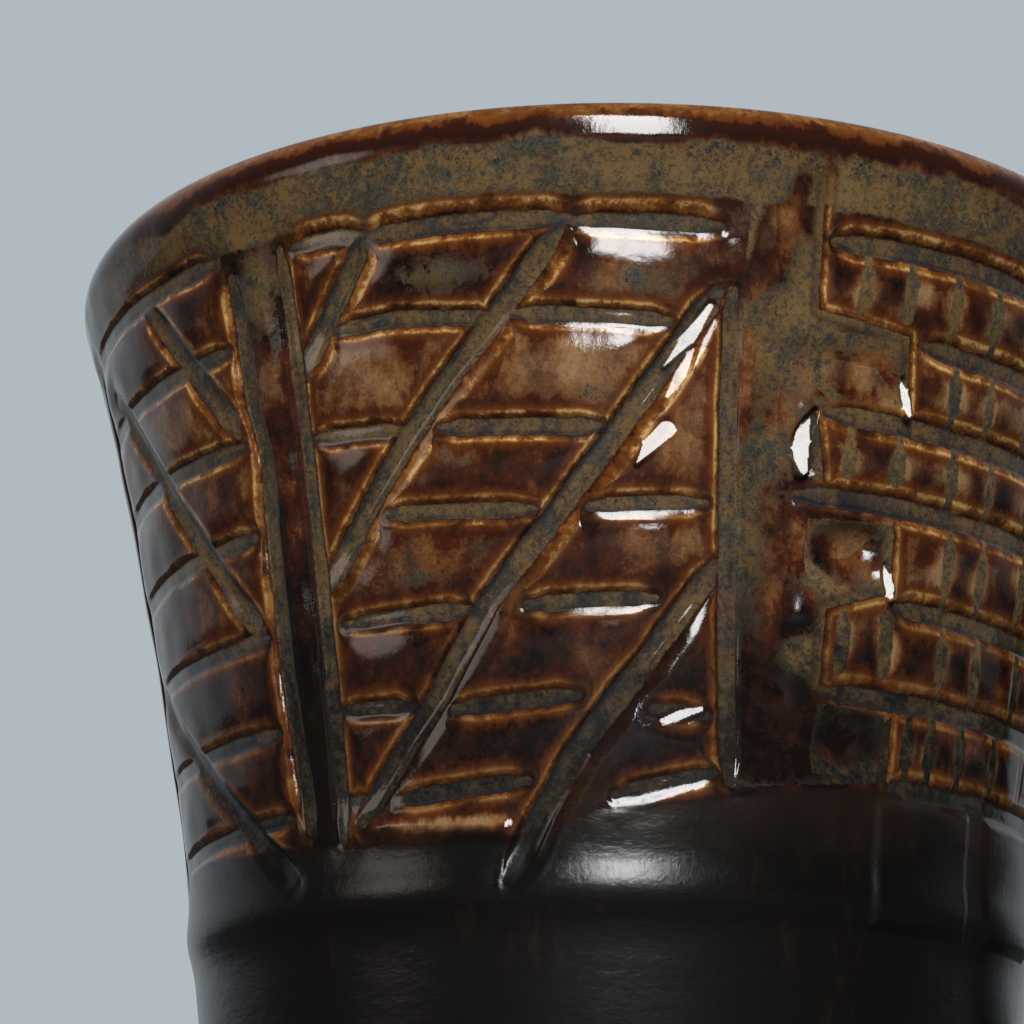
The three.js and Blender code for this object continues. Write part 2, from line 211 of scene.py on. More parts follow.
LEANING_TIMBERS = cuts(TOP_COURSE, [
    [(-32.6, 7.7), (-28, 7.6), (-24.5, 8)],
    [(-24, 8.1), (-14, 8), (-3.8, 8.2)],
    [(-3.2, 8.4), (10.6, 8.6)],
]) + cuts(COURSE, [
    [(-28.6, 14.4), (-22, 14.2), (-11, 14.9)],
    [(-9.6, 14.7), (6, 15.4)],
    [(-32.6, 21.8), (-22, 22.2)],
    [(-17.8, 22.4), (-0.6, 22.9)],
    [(-24.6, 28.1), (-8, 28.6)],
    [(-2, 28.5), (10.2, 28.1)],
    [(-31, 35.6), (-15.5, 35.4)],
    [(-9, 35.3), (5, 34.9)],
    [(-32.8, 41.7), (-23, 42)],
    [(-18, 42.4), (-3.5, 41.7)],
    [(5, 42.6), (11, 43)],
    [(-32.8, 48.3), (-29.6, 48.3)],
    [(-26, 48.5), (-9.5, 47.6)],
    [(0.8, 48.7), (12.2, 47)],
]) + cuts(BRACE, [
    [(-24.3, 8.2), (-33.2, 16.8)],
    [(-4.8, 9), (-12, 15.4), (-19.9, 21.5), (-32.9, 32.5)],
    [(10.7, 13.2), (3.3, 20.9), (-4.4, 27.9), (-13.7, 35.2), (-19.9, 41.4), (-30.8, 49.7)],
    [(11.7, 32.4), (4.3, 39.2), (-3.4, 45.4), (-8, 50), (-11.8, 54.6)],
])
POST = cuts(POST_GROOVE, [
    [(-41.4, 8.5), (-41.4, 18), (-40.4, 22.5), (-41, 28), (-41, 38), (-40.2, 44), (-39.2, 50)],
]) + cuts(POST_SEAM, [
    [(-34.4, 7.5), (-34.2, 30), (-34, 51)],
])
FALLING_TIMBERS = cuts(COURSE, [
    [(-78, 6.9), (-43.5, 6.9)],
    [(-78, 13.8), (-43.5, 13.7)],
    [(-78, 20.9), (-43.5, 20.9)],
    [(-78, 28.4), (-43.5, 27.8)],
    [(-78, 35.6), (-43.5, 35.4)],
    [(-78, 42.9), (-43.5, 42.4)],
    [(-78, 49.8), (-42.5, 48.8)],
]) + cuts(BRACE, [
    [(-57, 7.5), (-44, 19.8)],
    [(-72, 11.5), (-45, 34.6)],
    [(-78, 34.8), (-42.5, 53.5)],
]) + cuts(POST_SEAM, [
    [(-79, 7), (-79, 51)],
])
COLUMN = cuts(COLUMN_GROOVE, [[(12.2, 13), (12.6, 25), (13.4, 40), (14, 47.5)]])
BRICK_COURSES = [
    [(22.4, 8.7), (40, 8.4), (71, 8.6)],
    [(34, 14.9), (71, 15.2)],
    [(23, 20.9), (71, 21.2)],
    [(20.8, 26.9), (31, 26.8), (71, 27)],
    [(34, 34), (71, 34.2)],
    [(25.4, 40.7), (71, 40.9)],
    [(35.6, 46.9), (71, 47.1)],
]
BRICK_JOINTS = [
    (26.2, 31.3, 37.2, 43.2, 49.5, 56, 63),
    (38.7, 44.2, 51, 58, 65),
    (26, 32.2, 40, 46.3, 54, 61, 67.5),
    (41, 46.8, 55, 62.5),
    (27, 32.8, 41.5, 48, 57, 65),
    (37.6, 41.3, 46.7, 53.8, 62),
]
TOOTH_TURN = 33
TOOTH_SHORT = 1.2
BRICKS_FROM = 22
BRICKS_TO = 71
BRICK_TONE = -0.04
# Beside a joint the glaze is thinner, as far as its glow reaches.
JOINT_TONE = 0.75
JOINT_GLOW = 0.6
JOINT_POOL = 1.6
JOINT_FADE = (0.4, -0.4)


def brick_joints():
    """The upright joints between each two courses. Those of the teeth stop short."""
    lines = []
    for joints, above, below in zip(BRICK_JOINTS, BRICK_COURSES, BRICK_COURSES[1:]):
        top = above[-1][1] + BRICK_COURSE.width / 2
        bottom = below[-1][1] - BRICK_COURSE.width / 2
        for turn in joints:
            short = TOOTH_SHORT if turn < TOOTH_TURN else 0
            lines.append([(turn, top), (turn, bottom - short)])
    return cuts(BRICK_JOINT, lines)


BRICKS = cuts(BRICK_COURSE, BRICK_COURSES) + brick_joints()

# The toothed ends of the brick rows, where the glaze breaks to amber.
TEETH = [
    (21.2, 4), (21.6, 13.4), (32.4, 14.2), (33.4, 20.4), (22.4, 20.9), (24, 26.4),
    (33.2, 27.4), (33.5, 33.2), (25.2, 35), (25, 40.2), (35.4, 41), (35.3, 46.6),
]
# A hollow's outline, how deep it is scooped, how far its cove reaches in, and the line of it that is amber.
Hollow = namedtuple("Hollow", "outline cut cove amber")
# How full the hollows are, by depth.
HOLLOW_FULL = [(5, 0), (10, 0.45), (19, 0.55), (21.5, 1), (30, 1), (36, 0.5), (48, 0.45)]
CORNER_EASE = 0.9
# How much olive glaze gathers along a hollow's side, and how far it reaches in.
COVE_POOL = 0.7
COVE_REACH = 0.8
# Distances inside a hollow between which its waver and its plain floor begin.
WAVER_START = (0, 2)
FLOOR_START = (0.5, 1.3)
COLUMN_HOLLOWS = [
    Hollow([(12.9, 14), (14, 4)] + TEETH + [(14.2, 48)], 1.05, 3, TEETH),
    Hollow([(20, 15.2), (31.9, 14.8), (33, 20), (24, 20.3), (21.4, 19)], 0.16, 1.8, []),
    Hollow([(22.3, 28.4), (33.1, 28), (33.3, 33), (31.5, 34.2), (24.2, 34.2), (22.5, 32.2)], 0.65, 1.5, []),
    Hollow([(24.5, 41.5), (34.9, 41.3), (35.1, 46.4), (24.2, 46.5)], 0.5, 1.3, []),
]
PLINTH_BLOCKS = [
    [(33.8, 48), (49.6, 48), (49.8, 56.8), (33.6, 56.8)],
    [(53.8, 48), (70.5, 48), (70.5, 56.8), (54.4, 56.8)],
]
PLINTH_RISE = 0.34
PLINTH_EDGE = 1.1
# Soft ridges under a panel: the line of each, and how far it stands out.
SILLS = [([(-30.5, 50.2), (-22, 50.4), (-12.5, 51)], 0.3), ([(1, 49.9), (6, 48.9), (12, 48.1)], 0.08)]
SILL_HALF = 0.75

# Flats that the tool left: the line of each as (turn, depth, half width), and the turn and the rise that it
# faces.
Facet = namedtuple("Facet", "line turn rise")
FACETS = [
    Facet([(21.8, 20.8, 0.15), (21.2, 21.7, 0.42), (20.8, 22.6, 0.6), (20.6, 23.5, 0.68), (20.6, 24.4, 0.66),
           (20.8, 25.2, 0.45)], 0, 4),
    Facet([(32, 17.6, 0.25), (32.4, 19, 0.4), (32.6, 20.1, 0.3)], -3, 4),
    Facet([(32.4, 31, 0.15), (32.6, 31.8, 0.34), (32.8, 32.6, 0.42), (32.8, 33.3, 0.3)], -3, 4),
    Facet([(10.2, 14.1, 0.35), (8.3, 16.2, 0.55), (5.6, 18.5, 0.2)], 0, -4),
    Facet([(8.6, 17.2, 0.15), (7.3, 19, 0.55), (5.9, 20.7, 0.25)], 0, -4),
    Facet([(5.9, 23, 0.75), (4.6, 23.9, 0.6), (2.9, 25.4, 0.2)], 0, -3),
    Facet([(6, 43.4, 0.25), (8.2, 43, 0.45), (10.4, 42.6, 0.3)], 1, 0),
]
FACET_EDGE = 0.15

# The set of carving that each part of the wall has, and the turn it starts from.
Panel = namedtuple("Panel", "turn strokes hollows blocks sills facets")
FRAME_AND_BRICKS = POST + LEANING_TIMBERS + COLUMN + BRICKS
PANELS = [
    Panel(0, FALLING_TIMBERS + FRAME_AND_BRICKS, COLUMN_HOLLOWS, PLINTH_BLOCKS, SILLS, FACETS),
    Panel(150, FRAME_AND_BRICKS, COLUMN_HOLLOWS, PLINTH_BLOCKS, SILLS, []),
    Panel(-50, FALLING_TIMBERS + POST, [], [], [], []),
]
# Where a panel without bricks ends.
POST_END = -33
# Where the dark lower glaze begins, along the turn of a panel and between panels, and how it fades in.
DARK_EDGE = [
    (-80, 50), (-44, 50.6), (-33, 51.2), (-12, 51.2), (0, 49.6),
    (12, 48.2), (24, 47.6), (35, 47.2), (71, 47.2),
]
DARK_DEPTH = 50
DARK_FADE = (-0.5, 0.9)
DARK_WAVER = 0.35
# The olive band under the lip: where it fades in and out.
BAND_START = (2.2, 3.2)
BAND_END = (7, 6)
BAND_WAVER = 0.3

# How thinly the glaze lies on the faces, by depth: 1 is thin and tan, -1 is thick and near black.
FACE_TONE = [
    (0, 0), (8, -0.1), (12, -0.2), (16, 0.35), (20, 0.4),
    (25, -0.05), (31, 0.05), (37, -0.4), (43, -0.7), (50, -0.95),
]
# Patches of thinner or thicker glaze: turn, depth, half width, half height, strength.
TONE_PATCHES = [
    (-17, 11.5, 6, 2.4, -0.45), (3, 11.8, 5, 2, 0.3), (-25, 17.5, 4, 2.6, 0.35), (-4, 18, 6, 2.8, 0.5),
    (-29, 25, 2.5, 2, -0.4), (-11, 25.6, 5, 2, -0.2), (6, 25, 3, 3, 0.45), (-20, 31, 5, 2, 0.2),
    (4, 31.5, 5, 2, 0.15), (-11, 38.5, 5, 2, 0.1), (2, 39, 3, 2, 0.3), (-27, 46, 3, 2.5, 0.15),
    (-24, 50.1, 5, 0.9, 1.7), (-15.5, 50.4, 3.5, 0.7, 1.4),
    (-37.5, 20, 2.5, 6, -0.18), (-37.5, 38, 2.5, 9, -0.6), (-48, 46, 4, 3, 0.45), (-50, 17, 4, 2.5, 0.4),
    (27, 17, 4, 2.5, 0.52), (28, 31, 3.5, 2, 0.76), (17, 8, 2, 3.5, 0.8), (14, 19.5, 0.6, 4, 0.5),
    (17.5, 29, 3, 6, 0.22), (17, 17, 3.4, 4, 0.3), (40, 12, 8, 2, 0.3),
]
# Patches where the olive glaze lies over a face, in the same way.
POOL_PATCHES = [
    (-18, 11.5, 5, 1.6, 0.5), (4, 12.4, 3, 1.2, 0.4), (-3, 20.3, 5, 1.1, 0.5), (-19, 33, 4, 1, 0.45),
    (-37.5, 10, 2.6, 5, 0.8), (16.5, 9.5, 3.6, 6, 1), (17, 17, 2.4, 3.5, 0.6), (15.6, 27, 1.4, 8, 0.55),
    (25, 15.6, 4, 1, 0.4), (24.5, 33, 3, 1, 0.6), (22, 38.2, 1.6, 1.6, 1), (19, 25.5, 1.6, 3, 0.4),
    (18, 5.6, 1.3, 2, -1.5), (16, 9.6, 1.6, 2.6, -1.6), (13.6, 12.4, 1.4, 1.4, -1.2),
    (14, 19.5, 0.5, 4, -1.2),
]
# Patches of painted shade, where a groove is darkened as a deep dark slot.
SLOT_SHADE_PATCHES = [(25.5, 26.9, 4, 0.8, 1), (3, 45, 3, 3, 0.5)]
# What the glaze reads at each vertex.
GLAZE_FIELDS = ("edge", "mute", "line", "floor", "pool", "tone", "dark")


def deselect_all():
    bpy.ops.object.select_all(action="DESELECT")


def smoothstep(low, high, value):
    share = np.clip((value - low) / (high - low), 0, 1)
    return share * share * (3 - 2 * share)


def ripple(across, down, size, seed):
    """A smooth waver of about -1 to 1, with waves of about a size."""
    total = 0
    for wave in range(5):
        heading = seed + 2.4 * wave
        phase = 1.7 * seed + 2.1 * wave
        pitch = 2 * math.pi / size * (0.7 + 0.17 * wave)
        total = total + np.sin(pitch * (across * math.cos(heading) + down * math.sin(heading)) + phase)
    return total / 3


def thrown_radius(depth):
    """The thrown line of the wall: a flare above the shoulder and a swelling taper under it."""
    down = np.asarray(depth) / SHOULDER_DEPTH
    flare = RIM_RADIUS - (RIM_RADIUS - SHOULDER_RADIUS) * ((1 + FLARE_CURVE) * down - FLARE_CURVE * down ** 2)
    low = (np.asarray(depth) - SHOULDER_DEPTH) / (HEIGHT - SHOULDER_DEPTH)
    taper = SHOULDER_RADIUS + (FOOT_RADIUS - SHOULDER_RADIUS) * low + FOOT_BULGE * 4 * low * (1 - low)
    return np.where(down <= 1, flare, taper)


def outer_radius(depth):
    roll = np.exp(-((np.asarray(depth) - SHOULDER_DEPTH - SHOULDER_ROLL_DROP) / SHOULDER_ROLL_HALF) ** 2)
    bead = np.exp(-((np.asarray(depth) - LIP_BEAD_DEPTH) / LIP_BEAD_HALF) ** 2)
    return thrown_radius(depth) + SHOULDER_ROLL * roll + LIP_BEAD * bead


def wall_lean(depth):
    """How far the outside's normal leans up from level, in radians; it is negative where the wall flares."""
    return np.arctan(outer_radius(np.asarray(depth) + 0.5) - outer_radius(np.asarray(depth) - 0.5))


def inner_radius(depth):
    return thrown_radius(depth) - WALL


def wall_line(radius_at, from_depth, to_depth, rows):
    depths = np.linspace(from_depth, to_depth, rows)
    return [(float(radius_at(depth)), HEIGHT - depth) for depth in depths]


def arc(centre, radius, from_angle, to_angle, rise=None):
    rise = radius if rise is None else rise
    angles = np.radians(np.linspace(from_angle, to_angle, LIP_STEPS))
    return [(centre[0] + radius * math.cos(angle), centre[1] + rise * math.sin(angle)) for angle in angles]


def turned(name, profile, steps, from_turn=-180, to_turn=180, ring=True):
    """Screws a line of (radius, height) points round the mug's axis. A part turn gets closed ends."""
    deselect_all()
    bpy.ops.mesh.primitive_circle_add(vertices=len(profile), fill_type="NOTHING")
    piece = bpy.context.object
    piece.name = name
    start = math.radians(from_turn)
    for vertex, (radius, height) in zip(piece.data.vertices, profile):
        vertex.co = Vector((radius * math.sin(start), -radius * math.cos(start), height)) * MM
    if not ring:
        open_line(piece)
    bpy.ops.object.modifier_add(type="SCREW")
    screw = piece.modifiers[-1]
    screw.angle = math.radians(to_turn - from_turn)
    screw.steps = steps
    screw.render_steps = steps
    screw.use_merge_vertices = True
    screw.merge_threshold = AXIS_MERGE
    bpy.ops.object.modifier_apply(modifier=screw.name)
    close_mesh(fill_ends=to_turn - from_turn < 360)
    return piece


def close_mesh(fill_ends=False):
    """Merges the active mesh's doubles, turns its faces outwards and shades it."""
    bpy.ops.object.mode_set(mode="EDIT")
    bpy.ops.mesh.select_all(action="SELECT")
    bpy.ops.mesh.remove_doubles(threshold=MERGE)
    if fill_ends:
        bpy.ops.mesh.fill_holes(sides=0)
        bpy.ops.mesh.select_all(action="SELECT")
    bpy.ops.mesh.normals_make_consistent(inside=False)
    bpy.ops.object.mode_set(mode="OBJECT")
    bpy.ops.object.shade_smooth_by_angle(angle=SMOOTH_ANGLE)


def places_of(piece):
    """A piece's vertices, in millimetres."""
    places = np.empty(len(piece.data.vertices) * 3)
    piece.data.vertices.foreach_get("co", places)
    return places.reshape(-1, 3) / MM


def open_line(piece):
    """Takes out the edge that joins a line's last point to its first, which both lie on the axis."""
    ends = {0, len(piece.data.vertices) - 1}
    bpy.ops.object.mode_set(mode="EDIT")
    bpy.ops.mesh.select_mode(type="EDGE")
    bpy.ops.mesh.select_all(action="DESELECT")
    bpy.ops.object.mode_set(mode="OBJECT")
    for edge in piece.data.edges:
        edge.select = set(edge.vertices) == ends
    bpy.ops.object.mode_set(mode="EDIT")
    bpy.ops.mesh.delete(type="EDGE")
    bpy.ops.mesh.select_mode(type="VERT")
    bpy.ops.object.mode_set(mode="OBJECT")


class Wall:
    """The places of a piece's vertices on the wall, and what the carving does to each of them."""

    def __init__(self, piece):
        self.piece = piece
        self.places = places_of(piece)
        self.turn = np.degrees(np.arctan2(self.places[:, 0], -self.places[:, 1]))
        self.depth = HEIGHT - self.places[:, 2]
        self.level = self.depth - CARVING_DROP
        self.reach = np.hypot(self.places[:, 0], self.places[:, 1])
        self.radius = outer_radius(self.depth)
        self.outside = self.reach > self.radius - WALL / 2
        self.across = np.radians(self.turn) * self.radius
        count = len(self.turn)
        self.gap, self.edge, self.brink = np.full((3, count), FAR)
        self.height, self.mute, self.line, self.floor = np.zeros((4, count))
        self.pool, self.joint, self.tone, self.dark = np.zeros((4, count))
        self.flat = np.ones(count)

    def local(self, turn):
        """Each vertex's turn from that of a panel."""
        return (self.turn - turn + 180) % 360 - 180

    def waver(self, kind, near=slice(None), seed=0):
        return kind.strength * ripple(self.across[near], self.depth[near], kind.wave, kind.seed + seed)

    def near(self, local, points):
        """The vertices that a line of points can reach."""
        turns, depths = zip(*points)
        margin = math.degrees(FAR / SHOULDER_RADIUS)
        beside = (local > min(turns) - margin) & (local < max(turns) + margin)
        level = (self.level > min(depths) - FAR) & (self.level < max(depths) + FAR)
        return np.flatnonzero(beside & level & self.outside)

    def line_field(self, local, points, near, closed=False):
        """Distance to a line, distance along it, its length, and the heading (across, up) to each place."""
        best = np.full(len(near), np.inf)
        along = np.zeros(len(near))
        heading = np.zeros((2, len(near)))
        length = 0.0
        radius = self.radius[near]
        ends = points[1:] + points[:1] if closed else points[1:]
        for start, end in zip(points, ends):
            step_across = math.radians(end[0] - start[0]) * radius
            step_down = end[1] - start[1]
            off_across = np.radians(local[near] - start[0]) * radius
            off_down = self.level[near] - start[1]
            size = step_across ** 2 + step_down ** 2
            share = np.clip((off_across * step_across + off_down * step_down) / size, 0, 1)
            rest = np.array([off_across - share * step_across, share * step_down - off_down])
            distance = np.hypot(rest[0], rest[1])
            closer = distance < best
            best = np.where(closer, distance, best)
            along = np.where(closer, length + share * np.sqrt(size), along)
            heading = np.where(closer, rest / np.maximum(distance, TINY), heading)
            length += math.sqrt(float(np.mean(size)))
        return best, along, length, heading

    def note_edge(self, near, gap, edge, mute=0.0, line=0.0):
        """Keeps the nearest edge: its gap, the gap for the glaze, how plain it is and its dark line of glaze
        and painted shade.
        """
        closer = gap < self.gap[near]
        for kept, value in ((self.gap, gap), (self.edge, edge), (self.mute, mute), (self.line, line)):
            kept[near] = np.where(closer, value, kept[near])

    def cut_stroke(self, local, tool, points, seed):
        near = self.near(local, points)
        if not len(near):
            return
        distance, along, length, heading = self.line_field(local, points, near)
        ends = np.minimum(along, length - along)
        taper = TAPER_END + (1 - TAPER_END) * smoothstep(0, TAPER, ends)
        if tool.plain == "pool":
            taper = 1
        half = tool.width / 2 * taper * (1 + self.waver(GROOVE_WAVER, near, seed))
        gap = distance - half
        out = np.clip((gap + half) / (half + GLAZE_ROUND), 0, 1)
        toward = heading[0] * tool.wide[0] + heading[1] * tool.wide[1]
        wide = smoothstep(*WIDE_SIDE, toward)
        line = tool.near + (tool.far - tool.near) * wide
        thin = np.clip(1 - np.maximum(gap, 0) / line, 0, 1) ** BEVEL_CURVE
        bevel = BEVEL_SHARE * wide * thin * smoothstep(0, 1, distance / half)
        cut = tool.cut * smoothstep(-0.3, RUN_OUT, ends)
        steep = (1 - out ** 6) ** 1.5
        gentle = smoothstep(LOW_REACH, LOW_REACH - LOW_WIDTH * tool.cut, gap)
        low = smoothstep(*LOW_SIDE, heading[1])
        side = steep + (gentle - steep) * low
        self.height[near] = np.minimum(self.height[near], -cut * (side + bevel))
        if tool.plain == "pool":
            self.pool[near] = np.maximum(self.pool[near], JOINT_POOL * smoothstep(*JOINT_FADE, gap))
            glow = np.exp(-(np.maximum(gap, 0) / JOINT_GLOW) ** 2)
            self.joint[near] = np.maximum(self.joint[near], glow)
            return
        beside = np.where(gap < line, gap * THIN_LINE / line, THIN_LINE + gap - line)
        mute = 0.0
        if tool.plain == "narrow":
            mute = smoothstep(*NARROW_SIDE, toward)
        elif tool.plain == "wide_low":
            mute = BRACE_PLAIN * wide * smoothstep(PLAIN_FROM, PLAIN_BELOW, self.level[near])
        mute = np.maximum(mute, END_PLAIN * smoothstep(END_REACH, 0, ends))
        full = min(tool.cut / COURSE.cut, 1)
        self.flat[near] *= 1 - full * np.clip(1 - np.maximum(gap, 0) / PILLOW_REACH, 0, 1) ** 2
        # A dark line just inside the groove's narrow side: partly darker glaze, partly painted shade.
        shade = 0.0 if tool.plain == "narrow" else (1 - wide) * np.exp(-((gap + SHADED_LINE) / SHADED_LINE) ** 2)
        self.note_edge(near, gap, np.where(gap > 0, beside, gap), mute, shade)

    def inside_outline(self, local, outline, near):
        """True for the places that a closed outline holds."""
        held = np.zeros(len(near), bool)
        turn = local[near]
        depth = self.level[near]
        for (turn_a, depth_a), (turn_b, depth_b) in zip(outline, outline[1:] + outline[:1]):
            spans = (depth_a > depth) != (depth_b > depth)
            fall = (depth_b - depth_a) or TINY
            crossing = turn_a + (turn_b - turn_a) * (depth - depth_a) / fall
            held ^= spans & (turn < crossing)
        return held

    def eased_gap(self, local, outline, near):
        """The distance to an outline, eased where two of its sides are about as near."""
        total = np.zeros(len(near))
        for start, end in zip(outline, outline[1:] + outline[:1]):
            distance = self.line_field(local, [start, end], near)[0]
            total += np.exp(-distance / CORNER_EASE)
        return np.maximum(-CORNER_EASE * np.log(np.maximum(total, TINY)), 0)

    def scoop(self, local, hollow, seed):
        near = self.near(local, hollow.outline)
        if not len(near):
            return
        distance = self.eased_gap(local, hollow.outline, near)
        held = self.inside_outline(local, hollow.outline, near)
        inside = np.where(held, distance, -distance) + self.waver(HOLLOW_ROUGHNESS, near, seed)
        out = np.clip(1 - (inside + GLAZE_ROUND) / (hollow.cove + GLAZE_ROUND), 0, 1)
        fade = np.interp(self.level[near], *zip(*HOLLOW_FULL))
        self.height[near] -= hollow.cut * fade * (1 - out ** 2) ** 2
        cove = np.where(held, np.exp(-np.maximum(inside, 0) / COVE_REACH), 0)
        self.pool[near] = np.maximum(self.pool[near], COVE_POOL * cove)
        if hollow.amber:
            self.height[near] += self.waver(HOLLOW_WAVER, near) * smoothstep(*WAVER_START, inside)
            distance = self.line_field(local, hollow.amber, near)[0]
            self.brink[near] = np.where(held, -distance, distance)
            self.floor[near] = np.where(held, smoothstep(*FLOOR_START, distance), 0)

    def raise_block(self, local, outline):
        near = self.near(local, outline)
        if not len(near):
            return
        distance = self.line_field(local, outline, near, closed=True)[0]
        held = self.inside_outline(local, outline, near)
        inside = np.where(held, distance, -distance)
        self.height[near] += PLINTH_RISE * smoothstep(-PLINTH_EDGE / 2, PLINTH_EDGE / 2, inside)

    def raise_sill(self, local, points, rise):
        near = self.near(local, points)
        if not len(near):
            return
        distance = self.line_field(local, points, near)[0]
        self.height[near] += rise * np.exp(-(distance / SILL_HALF) ** 2)

    def carve(self):
        for panel in PANELS:
            local = self.local(panel.turn)
            for number, hollow in enumerate(panel.hollows):
                self.scoop(local, hollow, number + 0.5)
            base = self.height.copy()
            self.height[:] = 0
            for number, (tool, points) in enumerate(panel.strokes):
                self.cut_stroke(local, tool, points, number + 0.3 * panel.turn)
            self.height += base
            for outline in panel.blocks:
                self.raise_block(local, outline)
            for points, rise in panel.sills:
                self.raise_sill(local, points, rise)
        by_brink = (self.gap > 0) & (np.abs(self.brink) < self.gap)
        self.edge = np.where(by_brink, self.brink + THIN_LINE - TOOTH_EDGE, self.edge)
        self.mute = np.where(by_brink, 0, self.mute)
        self.line = np.where(by_brink, 0, self.line)
        self.floor *= smoothstep(0, 0.5, self.gap)
        burr = BURR * np.exp(-((self.edge - THIN_LINE) / BURR_HALF) ** 2)
        self.flat *= 1 - np.clip(1 - np.abs(self.brink) / PILLOW_REACH, 0, 1) ** 2
        pillow = PILLOW * np.interp(self.level, *zip(*PILLOW_FULL)) * (1 - self.flat)
        below_lip = smoothstep(*LIP_CLEAR, self.depth)
        self.height += (burr - pillow) * below_lip
        for panel in PANELS:
            for facet in panel.facets:
                self.press_flat(self.local(panel.turn), facet)
        hand = self.waver(HAND_WAVER) + self.waver(HAND_TREMOR)
        self.height += hand * below_lip * smoothstep(*HAND_END, self.depth)

    def press_flat(self, local, facet):
        """Presses a flat into the surface where it lies, facing one way."""
        points = [(turn, depth) for turn, depth, _ in facet.line]
        halves = [half for _, _, half in facet.line]
        near = self.near(local, points)
        if not len(near):
            return
        distance, along, length, _ = self.line_field(local, points, near)
        half = np.interp(along / length, np.linspace(0, 1, len(halves)), halves)
        held = distance < half
        if not held.any():
            return
        share = smoothstep(FACET_EDGE, -FACET_EDGE / 3, distance - half)
        middle_turn, middle_level = np.mean(points, axis=0)
        beside = np.radians(local[near] - middle_turn)
        lean = math.radians(facet.rise) - float(wall_lean(middle_level))
        tilt = math.radians(facet.turn - middle_turn)
        flat = self.radius[near] * np.log(math.cos(tilt) / np.cos(tilt - beside))
        flat += math.tan(lean) * (self.level[near] - middle_level)
        flat += np.mean((self.height[near] - flat)[held])
        self.height[near] += share * (flat - self.height[near])

    def patches(self, local, spots):
        """The sum of soft patches, each at a turn and a depth."""
        total = np.zeros(len(self.turn))
        for turn, depth, half_width, half_height, strength in spots:
            across = np.radians(local - turn) * self.radius / half_width
            down = (self.level - depth) / half_height
            total += strength * np.exp(-across ** 2 - down ** 2)
        return total

    def on_bricks(self):
        """True where the bricks are."""
        held = np.zeros(len(self.turn), bool)
        for panel in PANELS:
            local = self.local(panel.turn)
            if panel.hollows:
                held |= (local > BRICKS_FROM) & (local < BRICKS_TO)
        return held

    def colour(self):
        """Where the glaze lies thin, where its olive pools and where the dark lower glaze begins."""
        waver = self.waver(GLAZE_WAVER)
        self.tone = np.interp(self.level, *zip(*FACE_TONE)) + self.waver(TONE_WAVER)
        variety = BRICK_TONE + self.waver(BRICK_WAVER) + JOINT_TONE * self.joint
        self.tone += np.where(self.on_bricks(), variety, 0)
        band = smoothstep(*BAND_START, self.level + BAND_WAVER * waver) * smoothstep(*BAND_END, self.level)
        self.pool = np.maximum(self.pool, band)
        dark_depth = np.full(len(self.turn), float(DARK_DEPTH))
        turns, depths = zip(*DARK_EDGE)
        for panel in PANELS:
            local = self.local(panel.turn)
            last_turn = turns[-1] if panel.hollows else POST_END
            held = (local > turns[0]) & (local < last_turn)
            dark_depth = np.where(held, np.interp(local, turns, depths), dark_depth)
            self.tone += np.where(held, self.patches(local, TONE_PATCHES), 0)
            self.pool += np.where(held, self.patches(local, POOL_PATCHES), 0)
            # The painted shade of dark slots joins the dark line.
            self.line += np.where(held, self.patches(local, SLOT_SHADE_PATCHES), 0)
        self.dark = smoothstep(*DARK_FADE, self.level - dark_depth + DARK_WAVER * waver)

    def finish(self):
        """Moves the vertices out along the wall's own normal and writes what the glaze reads."""
        lean = wall_lean(self.depth)
        move = np.where(self.outside, self.height, 0)
        reach = self.reach + move * np.cos(lean)
        self.places[:, 0] *= reach / self.reach
        self.places[:, 1] *= reach / self.reach
        self.places[:, 2] += move * np.sin(lean)
        self.piece.data.vertices.foreach_set("co", (self.places * MM).ravel())
        self.piece.data.update()
        write_glaze(self.piece, **{name: getattr(self, name) for name in GLAZE_FIELDS})


def write_glaze(piece, **fields):
    """Stores what the glaze reads at each vertex.

    edge is the gap to the nearest edge, mute is where that edge is plain, and line is its dark line of glaze
    and painted shade.
    floor is the bottom of a hollow, pool is where olive glaze gathers, tone is how thin the glaze lies and
    dark is where the lower glaze begins.
    """
    for name in GLAZE_FIELDS:
        attribute = piece.data.attributes.new(name, "FLOAT", "POINT")
        if name in fields:
            attribute.data.foreach_set("value", np.asarray(fields[name], np.float32))


def carved(piece):
    wall = Wall(piece)
    wall.carve()
    wall.colour()
    wall.finish()
    return piece


def wall_sector(name, from_turn, to_turn, mesh):
    """One part of the carved wall, between two turns."""
    rows, steps = mesh
    outside = wall_line(outer_radius, CARVED_BOTTOM, RIM_SEAM, rows)
    inside = wall_line(inner_radius, RIM_SEAM, CARVED_BOTTOM, ROWS["carved_inside"])
    return carved(turned(name, outside + inside, steps, from_turn, to_turn))


def rim_band():
    """The smooth band at the top. The lip eases out, turns over tightly and falls in a round inside."""
    lean = wall_lean(LIP_EASE)
    lift = math.radians(LIP_TURN)
    ease_drop = LIP_ROUND + (LIP_EASE - LIP_ROUND) * math.sin(lift)
    ease_out = (LIP_EASE - LIP_ROUND) * math.cos(lift)
    foot_depth = ease_drop - LIP_EASE * math.sin(lean)
    crest = float(outer_radius(foot_depth)) - LIP_EASE * math.cos(lean) + ease_out
    ease_centre = (crest - ease_out, HEIGHT - ease_drop)
    outside = wall_line(outer_radius, RIM_SEAM, foot_depth, ROWS["rim"])
    ease = arc(ease_centre, LIP_EASE, math.degrees(lean), LIP_TURN)
    edge = arc((crest, HEIGHT - LIP_ROUND), LIP_ROUND, LIP_TURN, 90)
    slope = arc((crest, HEIGHT - LIP_SLOPE), crest - float(inner_radius(LIP_SLOPE)), 90, 180, LIP_SLOPE)
    inside = wall_line(inner_radius, LIP_SLOPE, RIM_SEAM, ROWS["rim_inside"])
    return carved(turned("rim_band", outside + ease[1:] + edge[1:] + slope[1:] + inside[1:], ROUND_STEPS))


